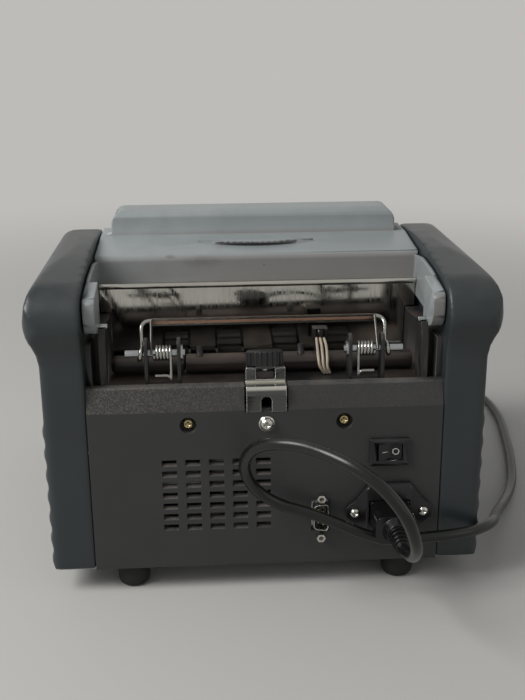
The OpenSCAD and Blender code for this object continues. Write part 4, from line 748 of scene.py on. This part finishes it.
# The carriage's bar runs on to both side walls
bar_y, bar_z, bar_deep, bar_high, bar_round = 0.078, 0.1278, 0.013, 0.0092, 0.0035
for end, x0, x1 in (("right", 0.0451, 0.0888), ("left", -0.0888, -0.0311)):
    bpy.ops.mesh.primitive_cube_add(size=1, location=((x0 + x1) / 2, bar_y, bar_z),
                                    scale=(x1 - x0, bar_deep, bar_high))
    bar = bpy.context.object
    bar.name = "lift_carriage_" + end
    bpy.ops.object.transform_apply(location=True, rotation=True, scale=True)
    for edge in bar.data.edges:
        first, second = (bar.data.vertices[v].co for v in edge.vertices)
        edge.select = abs(first.x - second.x) > 0.001
    for face in bar.data.polygons:
        face.select = False
    bpy.ops.object.mode_set(mode="EDIT")
    bpy.ops.mesh.select_mode(type="EDGE")
    bpy.ops.mesh.bevel(offset=bar_round, segments=6)
    bpy.ops.object.mode_set(mode="OBJECT")
    bpy.ops.object.shade_smooth_by_angle(angle=math.radians(32))
    bar.data.materials.append(carriage_plastic)
    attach(bar, "carriage")

# ---------- Note sensor and its leads ----------
# A black clip holds the sensor; three cream silicone leads come out of its back and dive through the floor.
refined("sensor_holder", "sensor_clip", "base", phenolic, angle=25)
cream = moulded("silicone_sleeve_cream", "#c7b9a2", rough=0.5, grain=0.0006, dust=0.4, edge_wear_and_highlight=0.1)
lead_r, lead_x, lead_pitch = 0.00085, -0.036, 0.0022
leads = []
for i in (-1, 0, 1):
    wire = bpy.data.curves.new("lead", "CURVE")
    wire.dimensions, wire.bevel_depth, wire.bevel_resolution, wire.resolution_u = "3D", lead_r, 3, 8
    wire.use_fill_caps = True
    run = wire.splines.new("BEZIER")
    run.bezier_points.add(5)
    x = lead_x + lead_pitch * i
    path = [(x, 0.0651, 0.1372), (x + 0.0002 + 0.0003 * i, 0.0705, 0.1368),
            (x + 0.0006 + 0.0005 * i, 0.0795, 0.1357), (x + 0.0008 + 0.0004 * i, 0.0868, 0.1315),
            (x + 0.0004, 0.0884, 0.1272), (x - 0.0018 - 0.0006 * i, 0.0878, 0.1228)]
    for point, place in zip(run.bezier_points, path):
        point.co = place
        point.handle_left_type = point.handle_right_type = "AUTO"
    lead = bpy.data.objects.new("lead", wire)
    bpy.context.scene.collection.objects.link(lead)
    leads.append(lead)
bpy.ops.object.select_all(action="DESELECT")
for lead in leads:
    lead.select_set(True)
bpy.context.view_layer.objects.active = leads[0]
bpy.ops.object.convert(target="MESH")
bpy.ops.object.join()
sensor_wires = bpy.context.object
sensor_wires.name = "sensor_wires"
bpy.ops.object.shade_smooth_by_angle(angle=math.radians(50))
sensor_wires.data.materials.clear()
sensor_wires.data.materials.append(cream)
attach(sensor_wires, "base")
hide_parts("sensor_leads")

# ---------- Top cover ----------
# One light grey ABS moulding, satin on top; its rear face is painted a darker warm grey as a painted
# reflection, less so towards the lit +X end, and carries hand marks.
pale = moulded("abs_light_grey_satin", "#939999", rough=0.36, grain=0.0010, grain_depth=0.00002, dust=0.05,
               edge_wear_and_highlight=0.3, edge=0.0014)
aged = pale.node_tree
skin = aged.nodes["Principled BSDF"]
untinted_colour = skin.inputs["Base Color"].links[0].from_socket
facing = add(aged, "ShaderNodeSeparateXYZ", {}, {0: add(aged, "ShaderNodeNewGeometry").outputs["Normal"]})
# Painted reflection: faces turned to the rear, below the top edge, are tinted darker and warmer
rear_facing = add(aged, "ShaderNodeMapRange", {},
                  {"Value": facing.outputs["Y"], "From Min": 0.45, "From Max": 0.9, "To Max": 0.75})
level = add(aged, "ShaderNodeSeparateXYZ", {}, {0: add(aged, "ShaderNodeTexCoord").outputs["Object"]})
below = add(aged, "ShaderNodeMapRange", {},
            {"Value": level.outputs["Z"], "From Min": 0.191, "From Max": 0.188})
painted_reflection_mask = add(aged, "ShaderNodeMath", {"operation": "MULTIPLY"},
              {0: rear_facing.outputs[0], 1: below.outputs[0]})
fades_to_lit_end = add(aged, "ShaderNodeMapRange", {}, {"Value": level.outputs["X"], "From Min": 0.01,
                                                   "From Max": 0.08, "To Min": 1.0, "To Max": 0.45})
painted_reflection_mask = add(aged, "ShaderNodeMath", {"operation": "MULTIPLY"},
              {0: painted_reflection_mask.outputs[0], 1: fades_to_lit_end.outputs[0]})
painted_warm_reflection = add(aged, "ShaderNodeMix", {"data_type": "RGBA"},
              {0: painted_reflection_mask.outputs[0], 6: untinted_colour, 7: linear("#7f7a77")})
shade = painted_warm_reflection.outputs[2]
on_cover = add(aged, "ShaderNodeTexCoord").outputs["Object"]
smoke = add(aged, "ShaderNodeTexNoise", {},
            {"Vector": on_cover, "Scale": 130.0, "Detail": 4.0}).outputs["Fac"]
# Hand marks on the rear face: x, z, half width, half height, strength
for x, z, wide, high, strength in ((0.0534, 0.1832, 0.004, 0.0018, 0.55),
                                   (0.0343, 0.1800, 0.013, 0.0055, 0.3),
                                   (-0.0038, 0.1773, 0.0008, 0.0008, 0.9), (0.062, 0.172, 0.03, 0.004, 0.08)):
    offset = add(aged, "ShaderNodeVectorMath", {"operation": "SUBTRACT"},
                 {0: on_cover, 1: (x, 0.041, z)}).outputs[0]
    scaled = add(aged, "ShaderNodeVectorMath", {"operation": "MULTIPLY"},
                 {0: offset, 1: (1 / wide, 150, 1 / high)})
    reach = add(aged, "ShaderNodeVectorMath", {"operation": "LENGTH"},
                {0: scaled.outputs[0]}).outputs["Value"]
    uneven = add(aged, "ShaderNodeMath", {"operation": "ADD"}, {0: reach, 1: smoke})
    spot = add(aged, "ShaderNodeMapRange", {"interpolation_type": "SMOOTHSTEP"},
               {"Value": uneven.outputs[0], "From Min": 1.6, "From Max": 0.6, "To Max": strength})
    marked = add(aged, "ShaderNodeMix", {"data_type": "RGBA"},
                 {0: spot.outputs[0], 6: shade, 7: linear("#3c3a38")})
    shade = marked.outputs[2]
aged.links.new(shade, skin.inputs["Base Color"])
refined("top_cover_shell", "top_cover", "cover", pale)

# ---------- Note plate, latch and hinge pins ----------
# Stainless sheet with a bright rolled finish, its upper edge hemmed over a rod; the pins are ground steel.
stainless = plated("bright_rolled_stainless", "#cfcdc6", "#bebbb3", rough=0.1, streak=(1, 1, 0.05),
                   grime=0.06)
refined("stainless_note_plate", "note_plate", "cover", stainless, angle=40)
refined("latch_pin_pair", "latch_pins", "cover", ground_steel)
refined("hinge_pin_pair", "hinge_pins", "cover", ground_steel)

# ---------- Display window and keys ----------
# A smoked acrylic window over the display, and six silicone-topped keys without marks.
acrylic = moulded("smoked_acrylic", "#101315", rough=0.08, grain=0.004, grain_depth=0.000002, dust=0.08,
                  edge_wear_and_highlight=0.05)
key_top = moulded("silicone_keytop_pale", "#c4c7c6", rough=0.5, grain=0.0008, dust=0.15, edge_wear_and_highlight=0.3,
                  edge=0.0008)
dress(acrylic, "display_window")
for number in range(1, 7):
    refined("key_cap_%d" % number, "key_%d" % number, "key_%d" % number, key_top)

# ---------- Studio ----------
# A pale floor that fades into a backdrop of the same grey, one large soft lamp high on the camera's left
# and a dim one low on its right.
BACKDROP = linear("#bdbcb9")
bpy.ops.mesh.primitive_plane_add(size=12, location=(0, 0, 0))
floor = bpy.context.object
floor.name = "floor"
floor_paint = bpy.data.materials.new("matt_grey_paint")
floor_paint.use_nodes = True
paint = floor_paint.node_tree
paint.nodes["Principled BSDF"].inputs["Base Color"].default_value = linear("#b9b8b4")
paint.nodes["Principled BSDF"].inputs["Roughness"].default_value = 0.8
floor_place = add(paint, "ShaderNodeTexCoord").outputs["Object"]
away = add(paint, "ShaderNodeVectorMath", {"operation": "LENGTH"}, {0: floor_place}).outputs["Value"]
fade = add(paint, "ShaderNodeMapRange", {"interpolation_type": "SMOOTHSTEP"},
           {"Value": away, "From Min": 0.35, "From Max": 1.3})
floor_rays = add(paint, "ShaderNodeLightPath")
direct = add(paint, "ShaderNodeMath", {"operation": "MAXIMUM"},
             {0: floor_rays.outputs["Is Camera Ray"], 1: floor_rays.outputs["Is Glossy Ray"]})
share = add(paint, "ShaderNodeMath", {"operation": "MULTIPLY"}, {0: fade.outputs[0], 1: direct.outputs[0]})
haze = add(paint, "ShaderNodeEmission", {}, {"Color": BACKDROP, "Strength": 1.0})
floor_mix = add(paint, "ShaderNodeMixShader", {}, {0: share.outputs[0]})
paint.links.new(paint.nodes["Principled BSDF"].outputs[0], floor_mix.inputs[1])
paint.links.new(haze.outputs[0], floor_mix.inputs[2])
paint.links.new(floor_mix.outputs[0], paint.nodes["Material Output"].inputs["Surface"])
floor.data.materials.append(floor_paint)
world = bpy.data.worlds.new("studio")
bpy.context.scene.world = world
world.use_nodes = True
sky = world.node_tree
background = sky.nodes["Background"]
background.inputs["Color"].default_value = linear("#e4e4e6")
background.inputs["Strength"].default_value = 0.46
seen = add(sky, "ShaderNodeBackground", {}, {"Color": BACKDROP, "Strength": 1.0})
path_kind = add(sky, "ShaderNodeLightPath")
shown_ray = add(sky, "ShaderNodeMath", {"operation": "MAXIMUM"},
                {0: path_kind.outputs["Is Camera Ray"], 1: path_kind.outputs["Is Glossy Ray"]})
choose = add(sky, "ShaderNodeMixShader", {}, {0: shown_ray.outputs[0]})
sky.links.new(background.outputs[0], choose.inputs[1])
sky.links.new(seen.outputs[0], choose.inputs[2])
sky.links.new(choose.outputs[0], sky.nodes["World Output"].inputs["Surface"])
for name, place, aim, power, size in (("overhead_left", (1.05, 0.5, 1.1), (0, 0, 0.1), 20, 0.8),
                                      ("low_right", (-1.1, 0.8, 0.5), (0, 0, 0.1), 0.6, 0.8)):
    lamp = bpy.data.lights.new(name, "AREA")
    lamp.energy, lamp.size = power, size
    lamp_object = bpy.data.objects.new(name, lamp)
    bpy.context.scene.collection.objects.link(lamp_object)
    lamp_object.location = place
    lamp_object.rotation_euler = (Vector(aim) - Vector(place)).to_track_quat("-Z", "Y").to_euler()
bpy.context.scene.view_settings.view_transform = "Standard"
